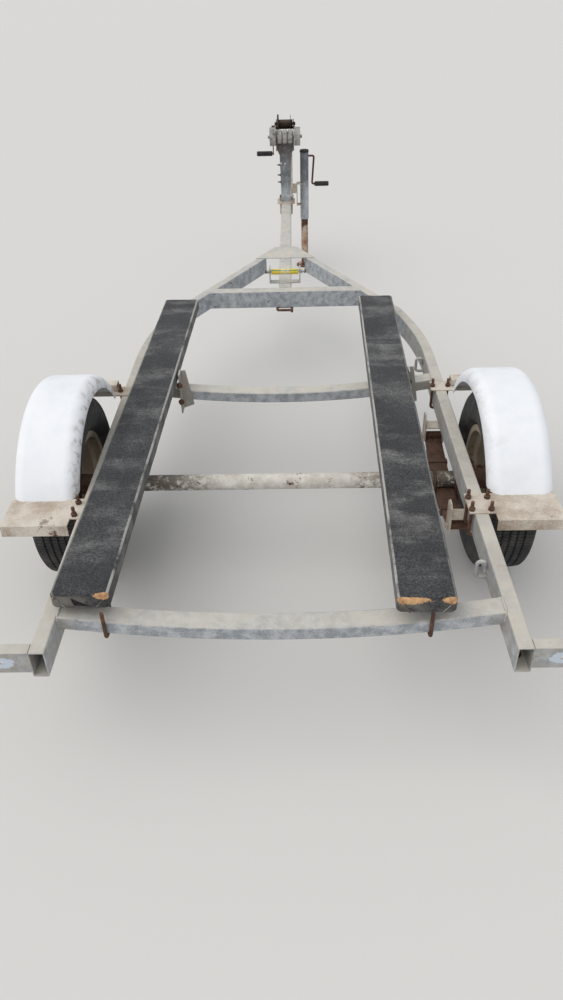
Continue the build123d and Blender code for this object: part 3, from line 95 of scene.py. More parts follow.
data = bpy.data.cameras.new("camera")
data.sensor_width = SENSOR
data.lens = LENS_PIXELS / PICTURE_HEIGHT * SENSOR
data.clip_end = 300.0
camera = bpy.data.objects.new("camera", data)
bpy.context.collection.objects.link(camera)
camera.matrix_world = Matrix.Translation(CAMERA_PLACE) @ aim_camera()
bpy.context.scene.camera = camera
print("lens in millimetres:", round(data.lens, 2))

# %% [markdown]
# The real trailer stands in open shade, where the whole sky is the lamp. A pale world gives that
# soft light. A very soft sun from the upper left adds the slight direction that makes box tubes
# read as boxes, and unlike a lamp nearby it leaves the floor equally bright everywhere.

# %% Floor and light
FLOOR_SIZE = 240.0
SKY_STRENGTH = 0.70
SUN_STRENGTH = 1.45
SUN_SPREAD = math.radians(75)
SUN_FROM = Vector((-3.0, -1.6, 5.5))


def plain_floor():
    half = FLOOR_SIZE / 2
    mesh = bpy.data.meshes.new("floor")
    corners = [(-half, -half, 0), (half, -half, 0), (half, half, 0), (-half, half, 0)]
    mesh.from_pydata(corners, [], [(0, 1, 2, 3)])
    floor = bpy.data.objects.new("floor", mesh)
    bpy.context.collection.objects.link(floor)
    paint = bpy.data.materials.new("floor")
    paint.use_nodes = True
    surface = paint.node_tree.nodes["Principled BSDF"]
    surface.inputs["Base Color"].default_value = (0.66, 0.645, 0.62, 1)
    surface.inputs["Roughness"].default_value = 0.9
    mesh.materials.append(paint)


def sky_and_sun():
    world = bpy.data.worlds.new("sky")
    bpy.context.scene.world = world
    world.use_nodes = True
    sky = world.node_tree.nodes["Background"]
    sky.inputs["Color"].default_value = (0.93, 0.96, 1.0, 1)
    sky.inputs["Strength"].default_value = SKY_STRENGTH
    light = bpy.data.lights.new("soft_sun", "SUN")
    light.energy = SUN_STRENGTH
    light.angle = SUN_SPREAD
    light.color = (1.0, 0.97, 0.93)
    sun = bpy.data.objects.new("soft_sun", light)
    bpy.context.collection.objects.link(sun)
    sun.matrix_world = SUN_FROM.to_track_quat("Z", "Y").to_matrix().to_4x4()


plain_floor()
sky_and_sun()
bpy.context.scene.view_settings.view_transform = "Standard"
print("floor, sky and sun are in place")

# %% [markdown]
# Materials here are built from small effects that many of them share: wear along edges, dust that
# settles on level faces, rust that breaks out in spots, and a slow change between two tones. Each
# effect is a node group with its own inputs. A helper places a node, sets its inputs by name and
# links any input that is given a socket, which keeps the recipes short enough to read.

# %% Helpers for shader nodes
def feed(tree, socket, value):
    """Links an input to another node, or sets its value."""
    if isinstance(value, bpy.types.NodeSocket):
        tree.links.new(value, socket)
    else:
        socket.default_value = value


def put(tree, kind, settings=None, **inputs):
    """Adds a shader node. Underscores in an input's name stand for spaces."""
    node = tree.nodes.new("ShaderNode" + kind)
    for key, value in (settings or {}).items():
        setattr(node, key, value)
    for key, value in inputs.items():
        feed(tree, node.inputs[key.replace("_", " ")], value)
    return node


def math_node(tree, operation, *values, kind="Math"):
    node = put(tree, kind, {"operation": operation})
    for socket, value in zip(node.inputs, values):
        feed(tree, socket, value)
    return node.outputs[0]


def times(tree, *factors):
    """Product of two or more values."""
    product = factors[0]
    for factor in factors[1:]:
        product = math_node(tree, "MULTIPLY", product, factor)
    return product


def plus(tree, first, second):
    return math_node(tree, "ADD", first, second)


def stretch(tree, value, factor, offset):
    """A value times a factor, plus an offset."""
    return math_node(tree, "MULTIPLY_ADD", value, factor, offset)


def absolute(tree, value):
    return math_node(tree, "ABSOLUTE", value)


def rest_of(tree, share):
    """What a share leaves of 1."""
    return math_node(tree, "SUBTRACT", 1.0, share)


def ramp(tree, value, low, high):
    """0 below low, 1 above high, with a smooth rise between them."""
    return put(tree, "MapRange", {"interpolation_type": "SMOOTHSTEP"}, Value=value, From_Min=low,
               From_Max=high).outputs[0]


def blend_colours(tree, share, first, second):
    node = put(tree, "Mix", {"data_type": "RGBA"})
    for socket, value in ((node.inputs[0], share), (node.inputs[6], first), (node.inputs[7], second)):
        feed(tree, socket, value)
    return node.outputs[2]


def place(tree):
    """Position on the part itself, so that a pattern stays put when the part moves."""
    return put(tree, "TexCoord").outputs["Object"]


def coordinates(tree):
    """Place along X, Y and Z, in metres."""
    return put(tree, "SeparateXYZ", None, Vector=place(tree)).outputs


def facing(tree, axis):
    """How far the surface looks along X, Y or Z, from -1 to 1."""
    return put(tree, "SeparateXYZ", None, Vector=put(tree, "NewGeometry").outputs["Normal"]).outputs[axis]


def blobs(tree, scale, detail=4.0, roughness=0.6, vector=None):
    return put(tree, "TexNoise", None, Vector=vector or place(tree), Scale=scale, Detail=detail,
               Roughness=roughness).outputs[0]


def new_group(name, inputs, output=("Mask", "NodeSocketFloat")):
    """A node group with float or colour inputs and one output: (tree, inputs, output socket)."""
    tree = bpy.data.node_groups.new(name, "ShaderNodeTree")
    for label, default in inputs.items():
        kind = "NodeSocketColor" if isinstance(default, tuple) else "NodeSocketFloat"
        tree.interface.new_socket(name=label, in_out="INPUT", socket_type=kind).default_value = default
    label, kind = output
    tree.interface.new_socket(name=label, in_out="OUTPUT", socket_type=kind)
    entry, leave = tree.nodes.new("NodeGroupInput"), tree.nodes.new("NodeGroupOutput")
    return tree, entry.outputs, leave.inputs[0]


def use_group(tree, name, **inputs):
    return put(tree, "Group", {"node_tree": bpy.data.node_groups[name]}, **inputs).outputs[0]


print("helpers for shader nodes are defined")

# %% Shared effects as node groups
def build_edge_wear():
    """Where the surface turns sharply, broken up by noise."""
    tree, given, result = new_group("edge wear", {"Width": 0.004, "Breakup": 60.0, "Amount": 1.0})
    soft = put(tree, "Bevel", {"samples": 4}, Radius=given["Width"]).outputs[0]
    sharp = put(tree, "NewGeometry").outputs["Normal"]
    alike = put(tree, "VectorMath", {"operation": "DOT_PRODUCT"})
    tree.links.new(soft, alike.inputs[0])
    tree.links.new(sharp, alike.inputs[1])
    turn = ramp(tree, rest_of(tree, alike.outputs["Value"]), 0.02, 0.22)
    broken = ramp(tree, blobs(tree, given["Breakup"], 5.0, 0.65), 0.38, 0.62)
    worn = times(tree, turn, broken, given["Amount"])
    tree.links.new(worn, result)


def build_settled_dust():
    """Dust on faces that look up, thicker in patches."""
    tree, given, result = new_group("settled dust", {"Amount": 1.0, "Patch size": 9.0})
    level = ramp(tree, facing(tree, "Z"), 0.15, 0.85)
    patches = ramp(tree, blobs(tree, given["Patch size"], 6.0, 0.62), 0.25, 0.75)
    cover = stretch(tree, patches, 0.55, 0.45)
    tree.links.new(times(tree, level, cover, given["Amount"]), result)


def build_rust_spots():
    """Spots of rust: large weak areas multiplied into small crisp flecks."""
    tree, given, result = new_group("rust spots", {"Size": 30.0, "Cover": 0.3, "Edges": 0.0})
    areas = blobs(tree, times(tree, given["Size"], 0.16), 3.0, 0.55)
    flecks = blobs(tree, given["Size"], 7.0, 0.72)
    field = plus(tree, times(tree, areas, 0.55), times(tree, flecks, 0.45))
    field = plus(tree, field, times(tree, given["Edges"], 0.12))
    floor_level = stretch(tree, given["Cover"], -0.42, 0.72)
    high_level = plus(tree, floor_level, 0.045)
    tree.links.new(ramp(tree, field, floor_level, high_level), result)


def build_two_tones():
    """A slow change between two tones with a finer speckle in it."""
    tree, given, result = new_group(
        "two tones",
        {"First": (0.5, 0.5, 0.5, 1), "Second": (0.4, 0.4, 0.4, 1), "Scale": 8.0, "Speckle": 0.3},
        ("Colour", "NodeSocketColor"))
    slow = ramp(tree, blobs(tree, given["Scale"], 5.0, 0.6), 0.3, 0.7)
    fine = math_node(tree, "SUBTRACT", blobs(tree, 240.0, 3.0, 0.7), 0.5)
    share = plus(tree, slow, times(tree, fine, given["Speckle"], 4.0))
    limited = put(tree, "Clamp", None, Value=share).outputs[0]
    tree.links.new(blend_colours(tree, limited, given["First"], given["Second"]), result)


for build_effect in (build_edge_wear, build_settled_dust, build_rust_spots, build_two_tones):
    build_effect()
print("effects:", sorted(group.name for group in bpy.data.node_groups))

# %% [markdown]
# Dirt isn't spread evenly. Wheels throw it on the rails beside them, grease runs down from the
# winch, oil creeps along the axle, and where a lamp was bolted on, the zinc has stayed clean. Two
# marks also hold painted shade: the dark top of the post under the bow rollers, and the band along
# the inner edge of each fender. Each of these marks could be painted by hand. Here each is a mask
# worked out from a point's place, so it needs no image, and any finish can take it.

# %% Colours of the marks and a ragged spot
CLEAN_ZINC = (0.56, 0.62, 0.70, 1)
ROAD_DIRT = (0.37, 0.335, 0.285, 1)
WINCH_BLACK = (0.018, 0.013, 0.011, 1)
AXLE_OIL = (0.085, 0.066, 0.050, 1)
# Dark brown for the top of the post: grease and rust, with painted shade under the bow rollers.
GREASE_AND_SHADE = (0.105, 0.072, 0.052, 1)
FOOTPRINT = Vector((0.030, 0.012, 0.019))


def near_spot(tree, spot, size, ragged):
    """1 inside an ellipsoid round a spot, with a ragged rim."""
    offset = math_node(tree, "SUBTRACT", place(tree), spot, kind="VectorMath")
    scaled = math_node(tree, "DIVIDE", offset, size, kind="VectorMath")
    length = put(tree, "VectorMath", {"operation": "LENGTH"})
    feed(tree, length.inputs[0], scaled)
    shift = stretch(tree, ragged, 0.9, -0.45)
    noisy = plus(tree, length.outputs["Value"], shift)
    return rest_of(tree, ramp(tree, noisy, 0.92, 1.06))


print("clean patch under a lamp:", [round(1000 * reach) for reach in FOOTPRINT], "mm to each side")

# %% Marks on the rails, brackets and lamp arms
def lamp_footprints(tree):
    """Where a lamp has kept the dust off the rear face of each arm, round its bolt hole."""
    ragged = blobs(tree, 90.0, 4.0, 0.6)
    spots = []
    for side in SIDES:
        low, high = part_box(f"lamp_arm_{side}")
        rim = [v.co for v in nodes[f"lamp_arm_{side}"].data.vertices
               if v.co.y < low.y + 0.0005 and low.z + 0.012 < v.co.z < high.z - 0.012]
        hole = sum(rim, Vector()) / len(rim)
        spots.append(near_spot(tree, hole, FOOTPRINT, ragged))
    return math_node(tree, "MAXIMUM", *spots)


def road_dirt(tree):
    """Beige splashes on the rails, thrown up by the wheels and thinner towards the front."""
    axes = coordinates(tree)
    on_rail = ramp(tree, absolute(tree, axes["X"]), 0.50, 0.54)
    behind = rest_of(tree, ramp(tree, axes["Y"], -0.6, 0.6))
    patchy = stretch(tree, ramp(tree, blobs(tree, 22.0, 8.0, 0.75), 0.35, 0.65), 0.70, 0.12)
    return times(tree, on_rail, behind, patchy)


def bracket_dirt(tree):
    """Old splashes on the brackets behind the middle crossmember."""
    low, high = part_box("bunk_brackets")
    axes = coordinates(tree)
    inner = min(abs(v.co.x) for v in nodes["bunk_brackets"].data.vertices)
    outside = ramp(tree, absolute(tree, axes["X"]), inner - 0.002, inner)
    inside = math_node(tree, "SUBTRACT", ramp(tree, axes["Y"], low.y - 0.004, low.y - 0.002),
                       ramp(tree, axes["Y"], high.y, high.y + 0.002))
    patchy = ramp(tree, blobs(tree, 30.0, 7.0, 0.72), 0.25, 0.60)
    return times(tree, inside, outside, patchy)


print("marks for rails, brackets and lamp arms are defined")

# %% Marks on the axle, the winch post and the fenders
def axle_grime(tree):
    """Oily dirt on the axle, thicker towards the springs."""
    across = coordinates(tree)["X"]
    towards = ramp(tree, absolute(tree, across), 0.10, 0.44)
    blotches = plus(tree, blobs(tree, 48.0, 8.0, 0.75), times(tree, towards, 0.16))
    return times(tree, ramp(tree, blotches, 0.54, 0.66), towards, 0.95)


def post_stain_and_shade(tree):
    """Dark top of the post: grease and rust run down from the winch, and painted shade under the bow rollers.
    """
    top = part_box("winch_post")[1].z
    axes = coordinates(tree)
    beside = ramp(tree, absolute(tree, axes["X"]), 0.050, 0.075)
    near = math_node(tree, "SUBTRACT", ramp(tree, axes["Z"], top - 0.15, top - 0.01), beside)
    patchy = stretch(tree, ramp(tree, blobs(tree, 40.0, 7.0, 0.7), 0.35, 0.65), 0.6, 0.25)
    return times(tree, put(tree, "Clamp", None, Value=near).outputs[0], patchy)


def winch_blackening(tree):
    """Near-black patches over everything on the winch, from the foot of its side plates up."""
    height = coordinates(tree)["Z"]
    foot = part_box("winch_frame")[0].z
    patchy = stretch(tree, ramp(tree, blobs(tree, 55.0, 6.0, 0.7), 0.35, 0.62), 0.35, 0.6)
    return times(tree, ramp(tree, height, foot - 0.01, foot + 0.03), patchy)


def fender_smudges_and_edge_shade(tree):
    """Grime and painted shade along the inner rolled edge of each fender, mostly on the left one, and faint
    marks elsewhere.
    """
    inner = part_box("fender_right")[0].x
    across = coordinates(tree)["X"]
    near = rest_of(tree, ramp(tree, absolute(tree, across), inner, inner + 0.032))
    strength = stretch(tree, ramp(tree, across, -0.1, 0.1), -0.6, 0.8)
    patchy = times(tree, ramp(tree, blobs(tree, 24.0, 8.0, 0.76), 0.48, 0.62), strength)
    faint = times(tree, ramp(tree, blobs(tree, 7.0, 9.0, 0.72), 0.58, 0.72), 0.22)
    return math_node(tree, "MAXIMUM", times(tree, near, patchy), faint)


# %% [markdown]
# Most of the trailer is coated steel in one state or another: galvanising that has gone matt and
# blue-grey, cream paint, white brushed paint, or bare rust. They differ in their numbers, not in
# their layers: two base tones, bright worn edges, rust that starts at edges, marks of use, some of
# them with painted shade, and beige dust over all level faces. One recipe with a table of finishes
# keeps them one family.

# %% One recipe for coated steel
RUST_DARK = (0.050, 0.023, 0.014, 1)
RUST_BRIGHT = (0.155, 0.073, 0.041, 1)
DUST = (0.50, 0.43, 0.335, 1)
DIRT_ROUGHNESS = 0.92
GRIME_FADE = 0.06


def new_material(name):
    material = bpy.data.materials.new(name)
    material.use_nodes = True
    tree = material.node_tree
    return material, tree, tree.nodes["Principled BSDF"]


def coated_steel(name, first, second, bright, rust, dust, metallic=0.0, roughness=0.6, edges=0.6, scale=8.0,
                 speckle=0.25, bump=0.0006, grain=180.0, dust_colour=DUST, grime=None, spot=34.0, marks=()):
    """Steel with a coat: tones, worn edges, rust, marks and dust, each on top of the last."""
    material, tree, surface = new_material(name)
    edge = use_group(tree, "edge wear", Width=0.0035, Amount=edges)
    spots = use_group(tree, "rust spots", Size=spot, Cover=rust, Edges=edge)
    base = use_group(tree, "two tones", First=first, Second=second, Scale=scale, Speckle=speckle)
    if grime:
        start, colour, share = grime
        height = coordinates(tree)["Z"]
        smoky = ramp(tree, blobs(tree, 26.0, 6.0, 0.7), 0.30, 0.62)
        smoky = stretch(tree, smoky, 0.5, 0.5)
        stained = times(tree, ramp(tree, height, start, start + GRIME_FADE), smoky)
        base = blend_colours(tree, times(tree, stained, share), base, colour)
    base = blend_colours(tree, edge, base, bright)
    oxide = use_group(tree, "two tones", First=RUST_DARK, Second=RUST_BRIGHT, Scale=45.0, Speckle=0.6)
    base = blend_colours(tree, spots, base, oxide)
    for mask, tint in marks:
        base = blend_colours(tree, mask(tree), base, tint)
    dusty = use_group(tree, "settled dust", Amount=dust)
    colour = blend_colours(tree, dusty, base, dust_colour)
    tree.links.new(colour, surface.inputs["Base Color"])
    rougher = math_node(tree, "MAXIMUM", spots, dusty)
    rough = stretch(tree, rougher, DIRT_ROUGHNESS - roughness, roughness)
    tree.links.new(rough, surface.inputs["Roughness"])
    shine = times(tree, rest_of(tree, rougher), metallic)
    tree.links.new(shine, surface.inputs["Metallic"])
    height = plus(tree, blobs(tree, grain, 4.0, 0.6), times(tree, spots, 0.8))
    relief = put(tree, "Bump", None, Strength=0.5, Distance=bump, Height=height)
    tree.links.new(relief.outputs[0], surface.inputs["Normal"])
    return material


print("layers: two tones, grime, worn edges, rust, marks, dust")

# %% The table of finishes
FINISHES = {
    "galvanised_steel": dict(
        first=(0.26, 0.285, 0.31, 1), second=(0.50, 0.52, 0.54, 1), bright=(0.62, 0.62, 0.60, 1),
        rust=0.26, dust=0.92, metallic=0.15, edges=0.75, scale=34.0, speckle=0.6,
        dust_colour=(0.60, 0.555, 0.475, 1), grime=(0.50, (0.10, 0.112, 0.125, 1), 0.85),
        # The dark top of the post is partly painted shade under the bow rollers.
        marks=((road_dirt, ROAD_DIRT), (bracket_dirt, ROAD_DIRT), (post_stain_and_shade, GREASE_AND_SHADE),
               (lamp_footprints, CLEAN_ZINC))),
    "clean_zinc": dict(
        first=(0.62, 0.64, 0.66, 1), second=(0.50, 0.52, 0.55, 1), bright=(0.7, 0.7, 0.7, 1),
        rust=0.1, dust=0.1, metallic=0.3, roughness=0.45),
    "dusty_paint": dict(
        first=(0.33, 0.25, 0.185, 1), second=(0.69, 0.635, 0.55, 1), bright=(0.62, 0.57, 0.50, 1),
        rust=0.28, dust=0.42, roughness=0.75, scale=9.0, speckle=0.4,
        dust_colour=(0.63, 0.565, 0.475, 1)),
    "fender_paint": dict(
        first=(0.87, 0.885, 0.91, 1), second=(0.81, 0.83, 0.865, 1), bright=(0.50, 0.40, 0.31, 1),
        rust=0.12, dust=0.03, edges=0.9, scale=12.0, grain=90.0,
        # The beige band on the fenders' inner edges is grime and painted shade.
        marks=((fender_smudges_and_edge_shade, (0.38, 0.32, 0.265, 1)),)),
    "axle_paint": dict(
        first=(0.50, 0.46, 0.40, 1), second=(0.74, 0.715, 0.67, 1), bright=(0.55, 0.50, 0.44, 1),
        rust=0.36, dust=0.25, roughness=0.8, scale=22.0, spot=100.0, marks=((axle_grime, AXLE_OIL),)),
    "jack_leg_paint": dict(
        first=(0.52, 0.46, 0.38, 1), second=(0.34, 0.17, 0.09, 1), bright=(0.5, 0.4, 0.3, 1),
        rust=0.60, dust=0.1, roughness=0.75, scale=10.0),
    # The rims are pale cream paint; these darker beige tones hold painted shade inside the wheels, with rust
    # spots on top.
    "rim_paint": dict(
        first=(0.26, 0.205, 0.145, 1), second=(0.37, 0.31, 0.235, 1), bright=(0.40, 0.33, 0.25, 1),
        rust=0.40, dust=0.15, roughness=0.75, spot=55.0),
    "rusty_steel": dict(
        first=(0.060, 0.030, 0.020, 1), second=(0.135, 0.062, 0.036, 1), bright=(0.20, 0.12, 0.085, 1),
        rust=0.6, dust=0.10, roughness=0.88, edges=0.4, scale=40.0, speckle=0.5, bump=0.0012,
        # The winch parts turn near black in patches.
        marks=((winch_blackening, WINCH_BLACK),)),
}
finish = {name: coated_steel(name, **values) for name, values in FINISHES.items()}
print("coated steels:", sorted(finish))

# %% [markdown]
# The tyres are old black rubber, greyed by dust that stays in the grooves and on the shoulders.
# The roller rubber on the bow stop has chalked to a pale grey. Black moulded grips get a fine
# grain. None of these needs a texture image: noise at the right size carries the look.

# %% Rubber, plastic and the keel roller's sleeve
def rubber(name, clean, dusty, share, scale):
    """Rubber or plastic with a share of it covered by dust, in patches and on level faces."""
    material, tree, surface = new_material(name)
    patches = ramp(tree, blobs(tree, scale, 7.0, 0.7), 0.5 - share / 2, 0.9 - share / 2)
    settled = use_group(tree, "settled dust", Amount=0.35)
    cover = math_node(tree, "MAXIMUM", patches, settled)
    tree.links.new(blend_colours(tree, cover, clean, dusty), surface.inputs["Base Color"])
    surface.inputs["Roughness"].default_value = 0.88
    fine = blobs(tree, 420.0, 3.0, 0.7)
    tree.links.new(put(tree, "Bump", None, Strength=0.4, Distance=0.0006, Height=fine).outputs[0],
                   surface.inputs["Normal"])
    return material


def striped_sleeve():
    """Yellow sleeve with a green line along its top and a pale scuffed patch in the middle."""
    material, tree, surface = new_material("keel_sleeve")
    low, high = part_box("keel_roller")
    centre, radius = (low + high) / 2, (high.z - low.z) / 2
    axes = coordinates(tree)
    wobble = stretch(tree, blobs(tree, 60.0), 0.5, -0.25)
    height = put(tree, "MapRange", None, Value=axes["Z"], From_Min=centre.z, From_Max=high.z).outputs[0]
    height = plus(tree, height, wobble)
    green = math_node(tree, "SUBTRACT", ramp(tree, height, 0.52, 0.58), ramp(tree, height, 0.80, 0.86))
    off_middle = absolute(tree, math_node(tree, "SUBTRACT", axes["X"], centre.x))
    scuffed = rest_of(tree, ramp(tree, off_middle, radius, radius * 2.2))
    scuffed = times(tree, scuffed, ramp(tree, blobs(tree, 170.0, 5.0, 0.7), 0.40, 0.60))
    yellow = use_group(tree, "two tones", First=(0.80, 0.62, 0.06, 1), Second=(0.66, 0.47, 0.07, 1),
                       Scale=60.0)
    colour = blend_colours(tree, green, yellow, (0.06, 0.24, 0.09, 1))
    colour = blend_colours(tree, times(tree, scuffed, 0.8), colour, (0.74, 0.73, 0.66, 1))
    tree.links.new(colour, surface.inputs["Base Color"])
    surface.inputs["Roughness"].default_value = 0.6
    return material


RUBBERS = (("tyre_rubber", (0.022, 0.022, 0.023, 1), (0.082, 0.077, 0.069, 1), 0.25, 22.0),
           ("roller_rubber", (0.060, 0.062, 0.066, 1), (0.38, 0.365, 0.335, 1), 0.54, 42.0),
           ("grip_plastic", (0.016, 0.016, 0.017, 1), (0.07, 0.066, 0.06, 1), 0.2, 60.0))
for name, *values in RUBBERS:
    finish[name] = rubber(name, *values)
finish["keel_sleeve"] = striped_sleeve()
print("finishes so far:", len(finish))

# %% [markdown]
# The bunks are timber planks wrapped in charcoal needle-felt carpet. Years of hulls have rubbed
# the pile pale along the upper edges and left dusty patches across the top. Along the rear top
# edge the felt has worn through to bare wood. The carpet reads as felt because of a dense speckle
# in colour and height at fibre size.

# %% Bare wood at the rear corners
WORN_SPOTS = (("left", min, 0.014, 0.006), ("left", max, 0.040, 0.008),
              ("right", min, 0.082, 0.009), ("right", max, 0.038, 0.008))
FELT_SHIFT = {"left": -0.005, "right": -0.001}


def worn_corners(tree):
    """Mask along the rear top edge of each bunk, longest at the corner, where the felt has gone."""
    ragged = blobs(tree, 110.0, 4.0, 0.7)
    total = None
    for name, corner, reach, depth in WORN_SPOTS:
        node = f"bunk_{name}"
        low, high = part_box(node)
        x = corner(v.co.x for v in nodes[node].data.vertices if v.co.y < low.y + 0.03) + FELT_SHIFT[name]
        spot = near_spot(tree, Vector((x, low.y + 0.001, high.z - 0.006)),
                         Vector((reach, depth, depth + 0.005)), ragged)
        total = spot if total is None else math_node(tree, "MAXIMUM", total, spot)
    return total


print("worn spots in the felt:", len(WORN_SPOTS))

# %% Carpet
FELT_DARK, FELT_LIGHT = (0.008, 0.008, 0.009, 1), (0.106, 0.108, 0.113, 1)
FELT_DUST, FELT_SIDE_DUST = (0.30, 0.295, 0.285, 1), (0.21, 0.19, 0.165, 1)
FELT_RUBBED = (0.42, 0.41, 0.385, 1)


def wrapped_carpet():
    """Felt with tufts, faded areas, dust, rubbed long edges and bare wood at the rear corners."""
    material, tree, surface = new_material("carpet")
    here = place(tree)
    tufts = blobs(tree, 165.0, 4.0, 0.85, here)
    fibres = plus(tree, times(tree, blobs(tree, 620.0, 3.0, 0.8, here), 0.4),
                       times(tree, tufts, 0.6))
    crosswise = put(tree, "Mapping", None, Vector=here, Scale=(4.0, 8.0, 4.0)).outputs[0]
    patches = ramp(tree, blobs(tree, 1.0, 6.0, 0.68, crosswise), 0.46, 0.70)
    base = blend_colours(tree, ramp(tree, fibres, 0.40, 0.64), FELT_DARK, FELT_LIGHT)
    faded = ramp(tree, blobs(tree, 4.5, 5.0, 0.6, here), 0.36, 0.64)
    base = blend_colours(tree, times(tree, faded, 0.5), base, (0.014, 0.014, 0.015, 1))
    settled = use_group(tree, "settled dust", Amount=0.75, Patch_size=5.0)
    dusty = times(tree, patches, settled, ramp(tree, fibres, 0.36, 0.56))
    colour = blend_colours(tree, dusty, base, FELT_DUST)
    upwards = facing(tree, "Z")
    upright = times(tree, rest_of(tree, ramp(tree, absolute(tree, upwards), 0.1, 0.5)),
                    ramp(tree, blobs(tree, 12.0, 5.0, 0.65, here), 0.35, 0.65))
    colour = blend_colours(tree, times(tree, upright, 0.75), colour, FELT_SIDE_DUST)
    brow = times(tree, ramp(tree, upwards, 0.35, 0.62), rest_of(tree, ramp(tree, upwards, 0.93, 0.99)))
    worn = times(tree, brow, ramp(tree, blobs(tree, 5.0, 6.0, 0.65, here), 0.30, 0.52))
    worn = times(tree, worn, ramp(tree, fibres, 0.30, 0.50))
    sideways = facing(tree, "X")
    outwards = times(tree, sideways, coordinates(tree)["X"])
    long_edge = ramp(tree, absolute(tree, sideways), 0.15, 0.35)
    share = stretch(tree, ramp(tree, outwards, -0.01, 0.01), -0.6, 1.0)
    worn = times(tree, worn, long_edge, share)
    colour = blend_colours(tree, worn, colour, FELT_RUBBED)
    bare = worn_corners(tree)
    wood = use_group(tree, "two tones", First=(0.62, 0.38, 0.19, 1), Second=(0.38, 0.20, 0.10, 1), Scale=70.0)
    tree.links.new(blend_colours(tree, bare, colour, wood), surface.inputs["Base Color"])
    surface.inputs["Roughness"].default_value = 0.95
    surface.inputs["Sheen Weight"].default_value = 0.08
    height = times(tree, fibres, rest_of(tree, bare))
    tree.links.new(put(tree, "Bump", None, Strength=0.9, Distance=0.0016, Height=height).outputs[0],
                   surface.inputs["Normal"])
    return material


finish["carpet"] = wrapped_carpet()
print("finishes in all:", len(finish))

# %% [markdown]
# The record of the frame names a finish for each of its parts. They could be put on one by one,
# but a loop over the record can't leave a part out.

# %% Give every part of the frame its finish
for part in frame["record"]["subparts"]:
    mesh = nodes[part["node"]].data
    mesh.materials.clear()
    mesh.materials.append(finish[part["material_slot"]])

# %% [markdown]
# Round parts such as tyres, and long parts such as planks, weld beads and threaded ends, all have
# the same structure: rings of points joined one to the next. One helper turns a list of rings into
# a mesh, so each piece below only has to say where its rings are.

# %% A mesh from rings of points
def join_rings(rings, into=None, closed=True, loop=False, caps=False):
    """Joins rings of equal length and adds them to a pair of lists: (points, faces)."""
    points, faces = into if into else ([], [])
    start, count = len(points), len(rings[0])
    points.extend(point for ring in rings for point in ring)
    for r in range(len(rings) if loop else len(rings) - 1):
        a, b = start + r * count, start + (r + 1) % len(rings) * count
        for i in range(count if closed else count - 1):
            j = (i + 1) % count
            faces.append((a + i, a + j, b + j, b + i))
    if caps:
        faces.append(tuple(range(start, start + count))[::-1])
        faces.append(tuple(range(start + (len(rings) - 1) * count, start + len(rings) * count)))
    return points, faces


def add_piece(name, shape, material, body):
    """Makes one smooth mesh with crisp edges that rides on a body of the frame."""
    mesh = bpy.data.meshes.new(name)
    mesh.from_pydata(shape[0], [], shape[1])
    form = bmesh.new()
    form.from_mesh(mesh)
    bmesh.ops.recalc_face_normals(form, faces=form.faces)
    for face in form.faces:
        face.smooth = True
    for edge in form.edges:
        edge.smooth = len(edge.link_faces) == 2 and edge.calc_face_angle(0) < math.radians(38)
    form.to_mesh(mesh)
    form.free()
    mesh.materials.append(finish[material])
    piece = bpy.data.objects.new(name, mesh)
    bpy.context.collection.objects.link(piece)
    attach(piece, body)
    print(name, "faces:", len(mesh.polygons))
    return piece


square = [[(x, y, z) for x, y in ((0, 0), (1, 0), (1, 1), (0, 1))] for z in (0, 1)]
print("two square rings with caps make a box of", len(join_rings(square, caps=True)[1]), "faces")

# %% [markdown]
# The tyres are worn road tyres. Their tread has ribs parted by zigzag grooves and cut by fine
# sipes, and the sidewall bulges over the rim with a few moulded rings. A profile is turned round
# the axle. At each step round the wheel the groove points shift sideways to draw the zigzag, and
# some steps dip to cut the sipes, so the pattern is real geometry and not a bump.

# %% Tyres
TREAD_STEPS = 144
STEP_OFFSETS = (0.0, 0.44, 0.48, 0.56, 0.60, 0.84)
SIPE_STEPS = (2, 3)
SIPE_DEPTH = 0.0035
ZIGZAG = 0.0024
GROOVES = (-0.0335, -0.0112, 0.0112, 0.0335)
GROOVE_HALF = 0.0034
GROOVE_DEPTH = 0.0065
LEAN_IN = 0.0055
EXTRA_BULGE = 0.0025


def tyre_profile(half, radius):
    """Points (x, radius, moves with the zigzag, lies on a rib) from inner to outer bead."""
    bead, flange = 0.1651, 0.1821
    wall = ((0.030, bead + 0.003), (0.0175, bead + 0.001), (0.0165, flange), (0.010, flange + 0.010),
            (0.0085, flange + 0.0125), (0.0065, flange + 0.0135), (0.003, flange + 0.022),
            (0.0, bead + 0.070), (0.001, bead + 0.085), (0.0035, bead + 0.098), (0.0030, bead + 0.1005),
            (0.0060, bead + 0.109), (0.0105, radius - 0.0175), (0.0115, radius - 0.012))
    shoulder = ((0.0160, radius - 0.0065), (0.0200, radius - 0.0035))
    points = [(inset - half, r, 0, 0) for inset, r in wall] + [(inset - half, r, 0, 1) for inset, r in shoulder]
    for groove in GROOVES:
        crown, foot = radius - groove ** 2, GROOVE_HALF * 0.6
        points += [(groove - GROOVE_HALF, crown, 1, 1), (groove - foot, crown - GROOVE_DEPTH, 1, 0),
                   (groove + foot, crown - GROOVE_DEPTH, 1, 0), (groove + GROOVE_HALF, crown, 1, 1)]
    sides = len(wall) + len(shoulder)
    mirrored = [(-x, r, moves, rib) for x, r, moves, rib in points[:sides]][::-1]
    return [(x - min(1, max(0, (r - flange) / 0.03)) * (LEAN_IN - EXTRA_BULGE * x / half), r, moves, rib)
            for x, r, moves, rib in points + mirrored]


